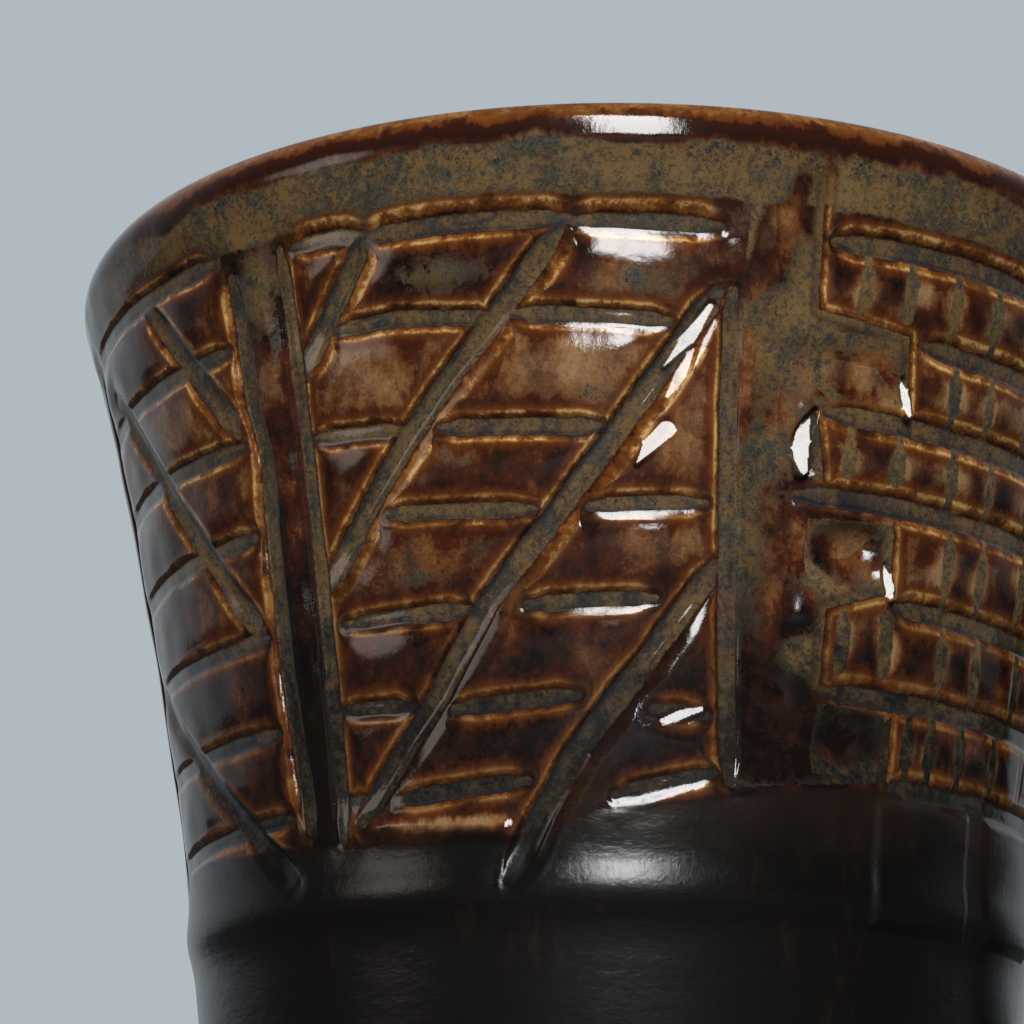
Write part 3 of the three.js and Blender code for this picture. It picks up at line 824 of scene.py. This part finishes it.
def inside_line(from_depth, offset_at, rows):
    """The inside of the wall and its round into the floor, set in from the clay."""
    offset = offset_at(HEIGHT)
    floor = BASE_TOP + offset
    fillet = FLOOR_FILLET - offset
    turn_depth = HEIGHT - floor - fillet
    line = wall_line(lambda depth: inner_radius(depth) - offset_at(depth), from_depth, turn_depth, rows)
    corner = (line[-1][0] - fillet, floor + fillet)
    return line + arc(corner, fillet, 0, -90)[1:]


def lower_wall():
    """The plain dark wall from the foot up to the shoulder, where its glaze ends in a soft roll."""
    outside = wall_line(outer_radius, HEIGHT - BASE_TOP, CARVED_BOTTOM, ROWS["lower"])
    inside = inside_line(CARVED_BOTTOM, lambda depth: 0, ROWS["lower_inside"])
    return carved(turned("lower_wall", outside + inside, ROUND_STEPS))


def liner():
    """The coat of glaze over the inside, which feathers out under the lip."""
    def inner_offset(depth):
        share = float(smoothstep(LINER_TOP_DEPTH, LINER_TOP_DEPTH + LINER_FEATHER, depth))
        return LINER_TOP_OFFSET + (LINER_OFFSET - LINER_TOP_OFFSET) * share

    def outer_offset(depth):
        return LINER_GAP if depth < HEIGHT else LINER_OFFSET - LINER_THICKNESS

    inside = inside_line(LINER_TOP_DEPTH, inner_offset, ROWS["liner"])
    outside = inside_line(LINER_TOP_DEPTH, outer_offset, ROWS["liner"])
    profile = [(0, outside[-1][1])] + outside[::-1] + inside + [(0, inside[-1][1])]
    return turned("liner_glaze", profile, ROUND_STEPS, ring=False)


def base_slab():
    """The flat bare slab under the mug."""
    foot = FOOT_RADIUS - FOOT_BEVEL
    side = float(outer_radius(HEIGHT - FOOT_BEVEL))
    profile = [(0, 0), (foot / 2, 0), (foot - FOOT_EASE_IN, 0), (foot, FOOT_EASE_UP)]
    profile += [(side - BEVEL_EASE_IN, FOOT_BEVEL - BEVEL_EASE_DOWN), (side, FOOT_BEVEL + BEVEL_EASE_UP)]
    profile += wall_line(outer_radius, HEIGHT - FOOT_BEVEL - SIDE_START, HEIGHT - BASE_TOP, ROWS["slab"])
    profile += [(foot / 2, BASE_TOP), (0, BASE_TOP)]
    return turned("base_slab", profile, ROUND_STEPS // 3, ring=False)


def catmull_rom(points, steps):
    """Points along a smooth line through the given ones."""
    padded = [2 * points[0] - points[1]] + points + [2 * points[-1] - points[-2]]
    line = []
    for before, start, end, after in zip(padded, padded[1:], padded[2:], padded[3:]):
        for step in range(steps):
            t = step / steps
            pull = (end - before) * t
            bend = (2 * before - 5 * start + 4 * end - after) * t * t
            swing = (3 * start - before - 3 * end + after) * t ** 3
            line.append(0.5 * (2 * start + pull + bend + swing))
    return line + [points[-1]]


def strap_line():
    """The middle of the strap: out of the wall, over, down and back."""
    top = float(outer_radius(HANDLE_TOP_DEPTH))
    low = float(outer_radius(HANDLE_BOTTOM_DEPTH))
    drop = HANDLE_BOTTOM_DEPTH - HANDLE_TOP_DEPTH
    high = HEIGHT - HANDLE_TOP_DEPTH

    def passing(wall, reach_share, drop_share):
        return Vector((wall + reach_share * HANDLE_REACH, 0, high - drop_share * drop))

    return catmull_rom([
        Vector((top - ROOT_SINK, 0, high - UPPER_ROOT_DROP)),
        Vector((top + ROOT_LENGTH, 0, high)),
        Vector((top + STRAP_CREST * HANDLE_REACH, 0, high + HANDLE_RISE)),
        passing(top, *STRAP_FARTHEST),
        passing(top, *STRAP_BACK),
        passing(low, *STRAP_RETURN),
        Vector((low + ROOT_LENGTH, 0, high - drop)),
        Vector((low - ROOT_SINK, 0, high - drop - LOWER_ROOT_DROP)),
    ], STRAP_STEPS)


def strap_oval():
    """The strap's section, flatter on the side that the fingers meet."""
    deselect_all()
    bpy.ops.curve.primitive_bezier_circle_add()
    oval = bpy.context.object
    oval.data.resolution_u = STRAP_SIDE_STEPS
    for point in oval.data.splines[0].bezier_points:
        for spot in (point.co, point.handle_left, point.handle_right):
            spot.x *= STRAP_WIDTH / 2 * MM
            spot.y *= STRAP_THICKNESS / 2 * MM * (FINGER_SIDE_BOW if spot.y < 0 else 1)
    return oval


def handle():
    """The pulled strap, worked into the wall at both ends."""
    line = strap_line()
    oval = strap_oval()
    deselect_all()
    bpy.ops.curve.primitive_nurbs_path_add()
    strap = bpy.context.object
    strap.name = "handle"
    curve = strap.data
    curve.splines.clear()
    spline = curve.splines.new("POLY")
    spline.points.add(len(line) - 1)
    lengths = np.cumsum([0] + [(b - a).length for a, b in zip(line, line[1:])])
    root_length = ROOT_LENGTH + WALL
    for point, place, far in zip(spline.points, line, lengths):
        share = far / lengths[-1]
        root = max(1 - far / root_length, 1 - (lengths[-1] - far) / root_length, 0)
        point.co = (*(place * MM), 1)
        point.radius = (1 + (STRAP_TAPER - 1) * share) * (1 + ROOT_FLARE * root * root)
    curve.bevel_mode = "OBJECT"
    curve.bevel_object = oval
    curve.use_fill_caps = True
    curve.twist_mode = "MINIMUM"
    bpy.ops.object.convert(target="MESH")
    bpy.data.objects.remove(oval)
    close_mesh()
    bpy.ops.object.transform_apply(location=True, rotation=True, scale=True)
    glaze_strap(strap)
    return strap


def glaze_strap(strap):
    """Glaze that is thin along the strap's sides, pools a little along its middle and is dark low down."""
    places = places_of(strap)
    side = STRAP_WIDTH / 2 - np.abs(places[:, 1])
    depth = HEIGHT - places[:, 2]
    waver = ripple(places[:, 2] + places[:, 0], places[:, 1], STRAP_WAVER.wave, STRAP_WAVER.seed)
    write_glaze(
        strap,
        edge=0.5 * side + 0.15 * waver,
        pool=0.4 * smoothstep(*STRAP_POOL, side),
        tone=np.interp(depth, *zip(*FACE_TONE)) + 0.2 * waver,
        dark=smoothstep(*STRAP_DARK, depth + 2 * waver),
    )


class Nodes:
    """Adds nodes to a material or to the surround, and joins them."""

    def __init__(self, owner, shader="Principled BSDF"):
        owner.use_nodes = True
        self.owner = owner
        self.tree = owner.node_tree
        self.shader = self.tree.nodes[shader]

    def add(self, kind, **settings):
        node = self.tree.nodes.new(kind)
        for name, value in settings.items():
            setattr(node, name, value)
        return node

    def join(self, source, socket):
        if isinstance(source, (int, float)):
            socket.default_value = source
        elif isinstance(source, (tuple, list)):
            colour = len(socket.default_value) == 4
            socket.default_value = (*source, 1) if colour else source
        else:
            self.tree.links.new(source, socket)

    def give(self, name, source):
        """Sets a value of the shader, or joins something to it."""
        self.join(source, self.shader.inputs[name])

    def attribute(self, name):
        return self.add("ShaderNodeAttribute", attribute_name=name).outputs["Fac"]

    def place(self):
        return self.add("ShaderNodeTexCoord").outputs["Object"]

    def part(self, vector, axis):
        """A vector's share along one axis."""
        split = self.add("ShaderNodeSeparateXYZ")
        self.join(vector, split.inputs[0])
        return split.outputs[axis]

    def depth(self, place):
        """Millimetres below the lip."""
        return self.blend((self.part(place, "Z"), -1 / MM), (HEIGHT, 1))

    def vector(self, operation, a, b=(0, 0, 0)):
        """A number that is worked out from vectors."""
        node = self.add("ShaderNodeVectorMath", operation=operation)
        self.join(a, node.inputs[0])
        self.join(b, node.inputs[1])
        return node.outputs["Value"]

    def camera_ray(self):
        return self.add("ShaderNodeLightPath").outputs["Is Camera Ray"]

    def math(self, operation, a, b=0.0, clamp=False):
        node = self.add("ShaderNodeMath", operation=operation, use_clamp=clamp)
        self.join(a, node.inputs[0])
        self.join(b, node.inputs[1])
        return node.outputs[0]

    def blend(self, *parts):
        """The sum of some values, each times its own weight."""
        total = 0.0
        for value, weight in parts:
            node = self.add("ShaderNodeMath", operation="MULTIPLY_ADD")
            self.join(value, node.inputs[0])
            self.join(weight, node.inputs[1])
            self.join(total, node.inputs[2])
            total = node.outputs[0]
        return total

    def noise(self, place, size, detail=3.0, rough=0.55, stretch=None, swirl=0.0):
        """Noise with grains of about a size in millimetres, centred on 0 and mostly within half of it."""
        if stretch:
            mapping = self.add("ShaderNodeMapping")
            mapping.inputs["Scale"].default_value = stretch
            self.join(place, mapping.inputs["Vector"])
            place = mapping.outputs["Vector"]
        node = self.add("ShaderNodeTexNoise")
        node.inputs["Scale"].default_value = 1 / (size * MM)
        node.inputs["Detail"].default_value = detail
        node.inputs["Roughness"].default_value = rough
        node.inputs["Distortion"].default_value = swirl
        self.join(place, node.inputs["Vector"])
        return self.math("SUBTRACT", node.outputs["Fac"], 0.5)

    def step(self, value, low, high):
        """0 below low, 1 above high, smooth between; low may be above high."""
        node = self.add("ShaderNodeMapRange", interpolation_type="SMOOTHSTEP")
        self.join(value, node.inputs["Value"])
        flipped = low > high
        node.inputs["From Min"].default_value = min(low, high)
        node.inputs["From Max"].default_value = max(low, high)
        node.inputs["To Min"].default_value = 1.0 if flipped else 0.0
        node.inputs["To Max"].default_value = 0.0 if flipped else 1.0
        return node.outputs["Result"]

    def mix(self, share, a, b):
        node = self.add("ShaderNodeMix", data_type="RGBA")
        self.join(share, node.inputs[0])
        self.join(a, node.inputs[6])
        self.join(b, node.inputs[7])
        return node.outputs[2]

    def ramp(self, value, low, high, stops):
        """A colour for each value between low and high."""
        span = self.add("ShaderNodeMapRange")
        self.join(value, span.inputs["Value"])
        span.inputs["From Min"].default_value = low
        span.inputs["From Max"].default_value = high
        node = self.add("ShaderNodeValToRGB")
        node.color_ramp.interpolation = "EASE"
        elements = node.color_ramp.elements
        while len(elements) < len(stops):
            elements.new(0.5)
        for element, (at, colour) in zip(elements, stops):
            element.position = (at - low) / (high - low)
            element.color = (*colour, 1)
        self.join(span.outputs["Result"], node.inputs["Fac"])
        return node.outputs["Color"]

    def bump(self, height, distance, strength):
        node = self.add("ShaderNodeBump")
        node.inputs["Distance"].default_value = distance * MM
        node.inputs["Strength"].default_value = strength
        self.join(height, node.inputs["Height"])
        self.give("Normal", node.outputs["Normal"])


GOLD = (0.49, 0.30, 0.11)
DULL_GOLD = (0.225, 0.098, 0.024)
AMBER = (0.165, 0.060, 0.012)
ORANGE = (0.120, 0.038, 0.007)
RUST = (0.085, 0.023, 0.005)
RED_BROWN = (0.042, 0.010, 0.0042)
DARK_RED = (0.024, 0.0062, 0.0035)
DEEP_BROWN = (0.016, 0.006, 0.0037)
OLIVE = (0.136, 0.082, 0.029)
GREY_OLIVE = (0.053, 0.047, 0.030)
BLUE_BLACK = (0.013, 0.013, 0.017)
PLUM = (0.050, 0.022, 0.019)
BLACK_OLIVE = (0.0065, 0.0068, 0.0055)
SOOT = (0.0030, 0.0025, 0.0020)
SOOT_RUN = (0.009, 0.005, 0.004)
BURNT_BROWN = (0.0165, 0.0078, 0.0048)
LIP_RUST = (0.10, 0.032, 0.007)
PALE_CLAY = (0.30, 0.175, 0.095)
TOASTED_CLAY = (0.17, 0.085, 0.042)
IRON_SPECK = (0.035, 0.02, 0.013)
# The colour of each part of the glaze: by how thin it lies, by the gap to an edge, and by depth on the lip.
FACE_STOPS = [
    (-1, (0.005, 0.003, 0.0025)), (-0.5, DEEP_BROWN), (0, RED_BROWN), (0.4, (0.105, 0.036, 0.0105)),
    (0.75, (0.172, 0.079, 0.028)), (1.2, (0.25, 0.143, 0.064)),
]
VEIL_STOPS = [
    (-1, (0.006, 0.005, 0.005)), (-0.4, (0.020, 0.012, 0.008)), (0.1, (0.050, 0.029, 0.016)),
    (0.5, (0.110, 0.060, 0.030)), (1, (0.205, 0.113, 0.056)),
]
EDGE_STOPS = [
    (-0.1, DEEP_BROWN), (-0.02, DARK_RED), (0.1, RUST), (THIN_LINE - 0.15, ORANGE), (THIN_LINE, AMBER),
    (THIN_LINE + 0.16, ORANGE), (THIN_LINE + 0.4, RUST), (THIN_LINE + 0.9, (0.06, 0.0155, 0.0045)),
    (THIN_LINE + 1.3, RED_BROWN),
]
LIP_STOPS = [
    (0, RUST), (0.35, LIP_RUST), (0.75, ORANGE), (1.05, LIP_RUST), (1.4, RUST), (1.8, DARK_RED),
    (2.6, DEEP_BROWN), (3.2, RED_BROWN),
]


def glaze_material():
    """A glaze that breaks to amber on edges, pools olive in hollows and runs dark on the lower wall."""
    n = Nodes(bpy.data.materials.new("breaking_glaze"))
    place = n.place()
    edge = n.attribute("edge")
    mute = n.attribute("mute")
    floor = n.attribute("floor")
    pool = n.attribute("pool")
    tone = n.attribute("tone")
    dust = n.noise(place, 0.2, 3, 0.65, swirl=1.2)
    fine = n.noise(place, 0.5, 4, 0.7, swirl=0.8)
    middle = n.noise(place, 1.6, 4, 0.6, swirl=0.5)
    broad = n.noise(place, 5.5, 3, 0.55)
    runs = n.noise(place, 2.2, 4, 0.65, stretch=(1, 1, 0.3))
    feather = n.noise(place, 0.5, 3, 0.6, stretch=(1, 1, 0.25))
    streaks = n.noise(place, 0.9, 3, 0.6, stretch=(0.3, 0.3, 1))
    depth = n.depth(place)

    # The thin line along an edge, broken here and there and dull low on the wall.
    broken = n.blend((edge, 1), (middle, 0.45), (fine, 0.25), (feather, 0.2))
    patchy = n.step(n.blend((broad, 1.3), (middle, 1.4), (runs, 0.7), (fine, 0.5)), -0.1, 0.34)
    spread = n.blend((patchy, -1.1), (1.6, 1))
    beside = n.math("SUBTRACT", broken, THIN_LINE)
    scaled = n.math("MULTIPLY", n.math("MAXIMUM", beside, 0), spread)
    scaled = n.blend((n.math("MINIMUM", beside, 0), 1), (scaled, 1), (THIN_LINE, 1))
    thin_edge = n.ramp(scaled, -0.4, 1.8, EDGE_STOPS)
    core = n.step(n.math("ABSOLUTE", beside), 0.19, 0.02)
    bright = n.step(n.blend((broad, 1), (middle, 1.4), (fine, 1.2), (runs, 0.5)), -0.16, 0.36)
    dull = n.step(n.blend((depth, 1), (tone, -14)), 18, 46)
    gold = n.math("MULTIPLY", n.math("MULTIPLY", core, bright), n.blend((dull, -0.7), (1, 1)))
    bank = n.math("MULTIPLY", n.step(broken, 0.03, 0.16), n.step(beside, 0.3, 0.05))
    thin_edge = n.mix(n.math("MULTIPLY", bank, patchy), thin_edge, DULL_GOLD)
    thin_edge = n.mix(gold, thin_edge, GOLD)
    thin_edge = n.mix(n.math("MULTIPLY", dull, 0.4), thin_edge, DARK_RED)

    # A face: darker in a feathered fringe beside the edge, with a dull speckled veil over its middle.
    inner = n.blend((edge, 1), (feather, 1.6), (middle, 1.1), (runs, 1.1))
    fringe = n.step(inner, 1.6, 0.7)
    value = n.blend(
        (tone, 1), (broad, 1.7), (runs, 1.6), (middle, 1.6), (fine, 1.4), (fringe, -0.36), (0.04, 1),
    )
    face = n.ramp(value, -1, 1.2, FACE_STOPS)
    speck = n.step(n.blend((dust, 1), (fine, 0.6), (middle, 0.3)), -0.02, 0.2)
    veil = n.ramp(n.blend((value, 1), (speck, -0.35)), -1, 1, VEIL_STOPS)
    clouds = n.step(n.blend((broad, 1), (runs, -0.8), (dust, 0.5)), -0.16, 0.2)
    veiled = n.math("MULTIPLY", n.step(inner, 0.8, 1.7), clouds)
    veiled = n.math("MULTIPLY", veiled, n.step(tone, -0.6, 0.3))
    face = n.mix(n.math("MULTIPLY", veiled, 0.85), face, veil)
    face = n.mix(n.math("MULTIPLY", speck, 0.3), face, DEEP_BROWN)
    reached = n.blend((inner, 1), (patchy, -0.5))
    plain = n.math("MULTIPLY", n.step(n.blend((middle, 1.2), (runs, 0.8), (broad, 0.8)), -0.02, -0.36), 0.8)
    plain = n.math("MAXIMUM", n.math("MAXIMUM", mute, plain), floor)
    beyond = n.math("MAXIMUM", n.step(reached, THIN_LINE + 0.05, THIN_LINE + 0.95), plain)
    colour = n.mix(beyond, thin_edge, face)

    # Olive in the grooves and pools, mottled and specked.
    greyed = n.step(n.blend((fine, 1), (middle, 0.8), (runs, 0.6), (broad, 0.6)), -0.2, 0.2)
    olive = n.mix(greyed, OLIVE, GREY_OLIVE)
    flecks = n.blend((dust, 0.8), (fine, 0.7), (middle, -0.6), (runs, 0.4))
    olive = n.mix(n.math("MULTIPLY", n.step(flecks, 0, 0.2), 0.8), olive, PLUM)
    gathered = n.step(n.blend((middle, 1), (runs, 0.7)), -0.35, 0.2)
    thick = n.blend((gathered, 0.75), (n.step(depth, 5.5, 2.8), 0.4))
    olive = n.mix(n.math("MULTIPLY", speck, thick, clamp=True), olive, BLUE_BLACK)
    low = n.step(n.blend((depth, 1), (middle, 16), (broad, 14)), 30, 45)
    thick_low = n.blend((fine, 0.9), (middle, 1), (runs, 0.5), (0.84, 1))
    olive = n.mix(n.math("MULTIPLY", low, thick_low, clamp=True), olive, BLACK_OLIVE)
    in_groove = n.step(n.blend((edge, 1), (fine, 0.25), (feather, 0.15)), 0.03, -0.12)
    in_groove = n.math("SUBTRACT", in_groove, floor, clamp=True)
    pooled = n.step(n.blend((pool, 1), (middle, 1), (fine, 1), (broad, 1.3)), 0.2, 0.7)
    past_edge = n.step(broken, THIN_LINE + 0.1, THIN_LINE + 0.7)
    clear = n.math("MAXIMUM", past_edge, n.math("MAXIMUM", mute, floor))
    clear = n.math("MAXIMUM", clear, n.step(pool, 1, 1.3))
    olive = n.mix(n.math("MULTIPLY", in_groove, 0.22), olive, BLUE_BLACK)
    colour = n.mix(n.math("MAXIMUM", in_groove, n.math("MULTIPLY", pooled, clear)), colour, olive)
    # Painted shade along each groove's narrow side and in dark slots, partly also a darker glaze line.
    dark_line_and_shade = n.math("MULTIPLY", n.attribute("line"), n.step(runs, -0.3, 0.1))
    colour = n.mix(n.math("MULTIPLY", dark_line_and_shade, 0.85, clamp=True), colour, BLUE_BLACK)

    # The lip, amber over a dark band, and the dark lower wall.
    lip_depth = n.blend((depth, 1), (runs, 1.8), (broad, 2.2), (feather, 1.2))
    lip = n.ramp(lip_depth, 0, 4, LIP_STOPS)
    stained = n.step(n.blend((broad, 1), (runs, 1), (middle, 0.8)), -0.02, 0.22)
    lip = n.mix(n.math("MULTIPLY", stained, 0.8), lip, DARK_RED)
    lip = n.mix(n.math("MULTIPLY", n.step(lip_depth, 1.3, 0.7), bright), lip, DULL_GOLD)
    colour = n.mix(n.step(lip_depth, 3.5, 2.7), colour, lip)
    sooty = n.step(n.blend((n.attribute("dark"), 1), (middle, 0.6), (runs, 0.6)), 0.3, 0.75)
    burnt = n.math("MULTIPLY", n.step(n.blend((depth, 1), (broad, 9), (runs, 9)), 54, 47), 0.7)
    soot = n.mix(n.step(runs, 0.05, 0.3), SOOT, SOOT_RUN)
    colour = n.mix(sooty, colour, n.mix(burnt, soot, BURNT_BROWN))

    # Gloss, less of it on the dark wall, and the glaze's own unevenness.
    worn = n.math("MULTIPLY", sooty, n.blend((streaks, 1), (fine, 0.4)))
    n.give("Base Color", colour)
    n.give("Roughness", n.blend((sooty, 0.13), (middle, 0.06), (fine, 0.05), (0.09, 1)))
    n.give("Specular IOR Level", 0.34)
    n.give("IOR", 1.55)
    n.bump(n.blend((middle, 1), (fine, 0.3), (dust, 0.08), (worn, 1)), 0.06, 0.35)
    return n.owner


def liner_material():
    """The inside glaze: brown, paler where it runs thin under the lip."""
    n = Nodes(bpy.data.materials.new("liner_glaze"))
    place = n.place()
    broad = n.noise(place, 9, 3)
    fine = n.noise(place, 0.6, 4, 0.7)
    runs = n.noise(place, 3, 3, 0.6, stretch=(1, 1, 0.2))
    depth = n.depth(place)
    mottle = n.mix(n.step(n.math("ADD", broad, runs), -0.3, 0.3), RUST, RED_BROWN)
    mottle = n.mix(n.math("MULTIPLY", n.step(fine, 0.02, 0.2), 0.7), mottle, DEEP_BROWN)
    pooled = n.step(n.blend((depth, 1), (broad, 30)), 60, 96)
    mottle = n.mix(n.math("MULTIPLY", pooled, 0.8), mottle, GREY_OLIVE)
    thin = n.step(n.blend((depth, 1), (runs, 9)), 12, 3)
    n.give("Base Color", n.mix(thin, mottle, AMBER))
    n.give("Roughness", n.blend((broad, 0.12), (0.13, 1)))
    n.bump(n.blend((broad, 1), (fine, 0.1)), 0.08, 0.4)
    return n.owner


def clay_material():
    """Bare fired stoneware, toasted and gritty."""
    n = Nodes(bpy.data.materials.new("bare_clay"))
    place = n.place()
    grit = n.noise(place, 0.35, 4, 0.75)
    toast = n.noise(place, 8, 3)
    colour = n.mix(n.step(toast, -0.2, 0.25), PALE_CLAY, TOASTED_CLAY)
    colour = n.mix(n.math("MULTIPLY", n.step(grit, 0.12, 0.24), 0.75), colour, IRON_SPECK)
    n.give("Base Color", colour)
    n.give("Roughness", n.blend((grit, 0.2), (0.78, 1)))
    n.bump(grit, 0.12, 0.6)
    return n.owner


def dress(piece, material, slot, *nodes):
    piece.data.materials.clear()
    piece.data.materials.append(material)
    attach(piece, "root")
    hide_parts(*nodes)


glaze = glaze_material()
for sector, (from_turn, to_turn, mesh) in SECTORS.items():
    dress(wall_sector(f"carved_wall_{sector}", from_turn, to_turn, mesh), glaze, "amber_glaze", "carved_wall")
dress(rim_band(), glaze, "olive_glaze", "rim_band")
dress(lower_wall(), glaze, "dark_glaze", "lower_wall")
dress(handle(), glaze, "amber_glaze", "handle_strap", "handle_upper_root", "handle_lower_root")
dress(liner(), liner_material(), "liner", "liner_glaze")
dress(base_slab(), clay_material(), "bare_clay", "base_slab")

# Stage
BACKDROP = (0.44, 0.49, 0.525)
FLOOR_SIZE = 12
FLOOR_GAP = 0.0002
FLOOR_ROUGHNESS = 0.9
# Between these distances from the mug, in metres, the floor turns into the surround.
FLOOR_FROM = 0.5
FLOOR_TO = 2.5
# Share of the surround's light on the camera's side, which is the dim one, and where it grows to the back.
DIM_SIDE = 0.08
DIM_TO = -0.15
FULL_FROM = 0.85
# A small soft light to the left, as its heading, how far round it the light fades, and its strength.
LEFT_TURN = -59
LEFT_RISE = 9
LEFT_FULL = 6
LEFT_END = 13
LEFT_LIGHT = 4
LEFT_COLOUR = (0.62, 0.54, 0.50)
# The floor as the mug's glaze mirrors it.
DIM_FLOOR = (0.035, 0.037, 0.04)
BLACK = (0, 0, 0)
# What the lamp looks at, in metres.
LAMP_TARGET = (0, 0, 0.06)
# The camera's place in metres, its angles in degrees, and its lens in pixels of a picture this wide.
CAMERA_PLACE = (0, -0.2254, 0.01375)
CAMERA_PITCH = 16.92
CAMERA_YAW = -2.13
CAMERA_ROLL = 0.61
FOCUS_PIXELS = 2719
PICTURE_PIXELS = 1024
SENSOR = 36
NEAREST = 0.01


def direction(turn, rise):
    """The direction at a turn round the mug and a rise above level."""
    turn = math.radians(turn)
    rise = math.radians(rise)
    return Vector((math.sin(turn) * math.cos(rise), -math.cos(turn) * math.cos(rise), math.sin(rise)))


def floor_material():
    """A plain pale floor, which far from the mug turns into the surround that the camera sees."""
    n = Nodes(bpy.data.materials.new("pale_floor"))
    seen = n.camera_ray()
    away = n.step(n.vector("LENGTH", n.place()), FLOOR_FROM, FLOOR_TO)
    far = n.math("MULTIPLY", away, seen)
    n.give("Base Color", n.mix(far, n.mix(seen, DIM_FLOOR, BACKDROP), BLACK))
    n.give("Emission Color", BACKDROP)
    n.give("Emission Strength", far)
    n.give("Roughness", FLOOR_ROUGHNESS)
    return n.owner


def pale_floor():
    deselect_all()
    bpy.ops.mesh.primitive_plane_add(size=FLOOR_SIZE, location=(0, 0, -FLOOR_GAP))
    floor = bpy.context.object
    floor.name = "floor"
    floor.data.materials.append(floor_material())


def surround():
    """A pale surround, even to the camera, whose light is dim in front and has a soft spot to the left."""
    world = bpy.data.worlds.new("pale_surround")
    bpy.context.scene.world = world
    n = Nodes(world, "Background")
    towards = n.add("ShaderNodeTexCoord").outputs["Generated"]
    behind = n.step(n.part(towards, "Y"), DIM_TO, FULL_FROM)
    behind = n.blend((behind, 1 - DIM_SIDE), (DIM_SIDE, 1))
    ends = [math.cos(math.radians(angle)) for angle in (LEFT_END, LEFT_FULL)]
    to_left = n.vector("DOT_PRODUCT", towards, tuple(direction(LEFT_TURN, LEFT_RISE)))
    left = n.math("MULTIPLY", n.step(to_left, *ends), LEFT_LIGHT)
    seen = n.camera_ray()
    n.give("Color", n.mix(n.math("SUBTRACT", left, seen, clamp=True), BACKDROP, LEFT_COLOUR))
    light = n.blend((behind, 1), (left, 1))
    n.give("Strength", n.blend((light, n.math("SUBTRACT", 1, seen)), (seen, 1)))


def softbox(name, turn, rise, distance, size, power):
    """A rectangular lamp that looks at the mug, at a turn round it and a rise above it."""
    away = direction(turn, rise)
    deselect_all()
    bpy.ops.object.light_add(type="AREA", location=Vector(LAMP_TARGET) + away * distance)
    lamp = bpy.context.object
    lamp.name = name
    lamp.rotation_euler = away.to_track_quat("Z", "Y").to_euler()
    lamp.data.shape = "RECTANGLE"
    lamp.data.size, lamp.data.size_y = size
    lamp.data.energy = power


def camera():
    """The photograph's view: low and close, looking up at the rim."""
    pitch = math.radians(CAMERA_PITCH)
    yaw = math.radians(CAMERA_YAW)
    roll = math.radians(CAMERA_ROLL)
    forward = Vector((math.sin(yaw) * math.cos(pitch), math.cos(yaw) * math.cos(pitch), math.sin(pitch)))
    right = Vector((math.cos(yaw), -math.sin(yaw), 0))
    up = right.cross(forward)
    turned_right = right * math.cos(roll) + up * math.sin(roll)
    turned_up = up * math.cos(roll) - right * math.sin(roll)
    deselect_all()
    bpy.ops.object.camera_add()
    view = bpy.context.object
    rows = [(turned_right[i], turned_up[i], -forward[i]) for i in range(3)]
    view.matrix_world = Matrix.Translation(CAMERA_PLACE) @ Matrix(rows).to_4x4()
    view.data.sensor_width = SENSOR
    view.data.lens = SENSOR * FOCUS_PIXELS / PICTURE_PIXELS
    view.data.clip_start = NEAREST
    bpy.context.scene.camera = view


pale_floor()
surround()
softbox("tall_softbox", turn=4, rise=31, distance=2.4, size=(0.6, 2.22), power=100)
camera()
bpy.context.scene.view_settings.view_transform = "Standard"
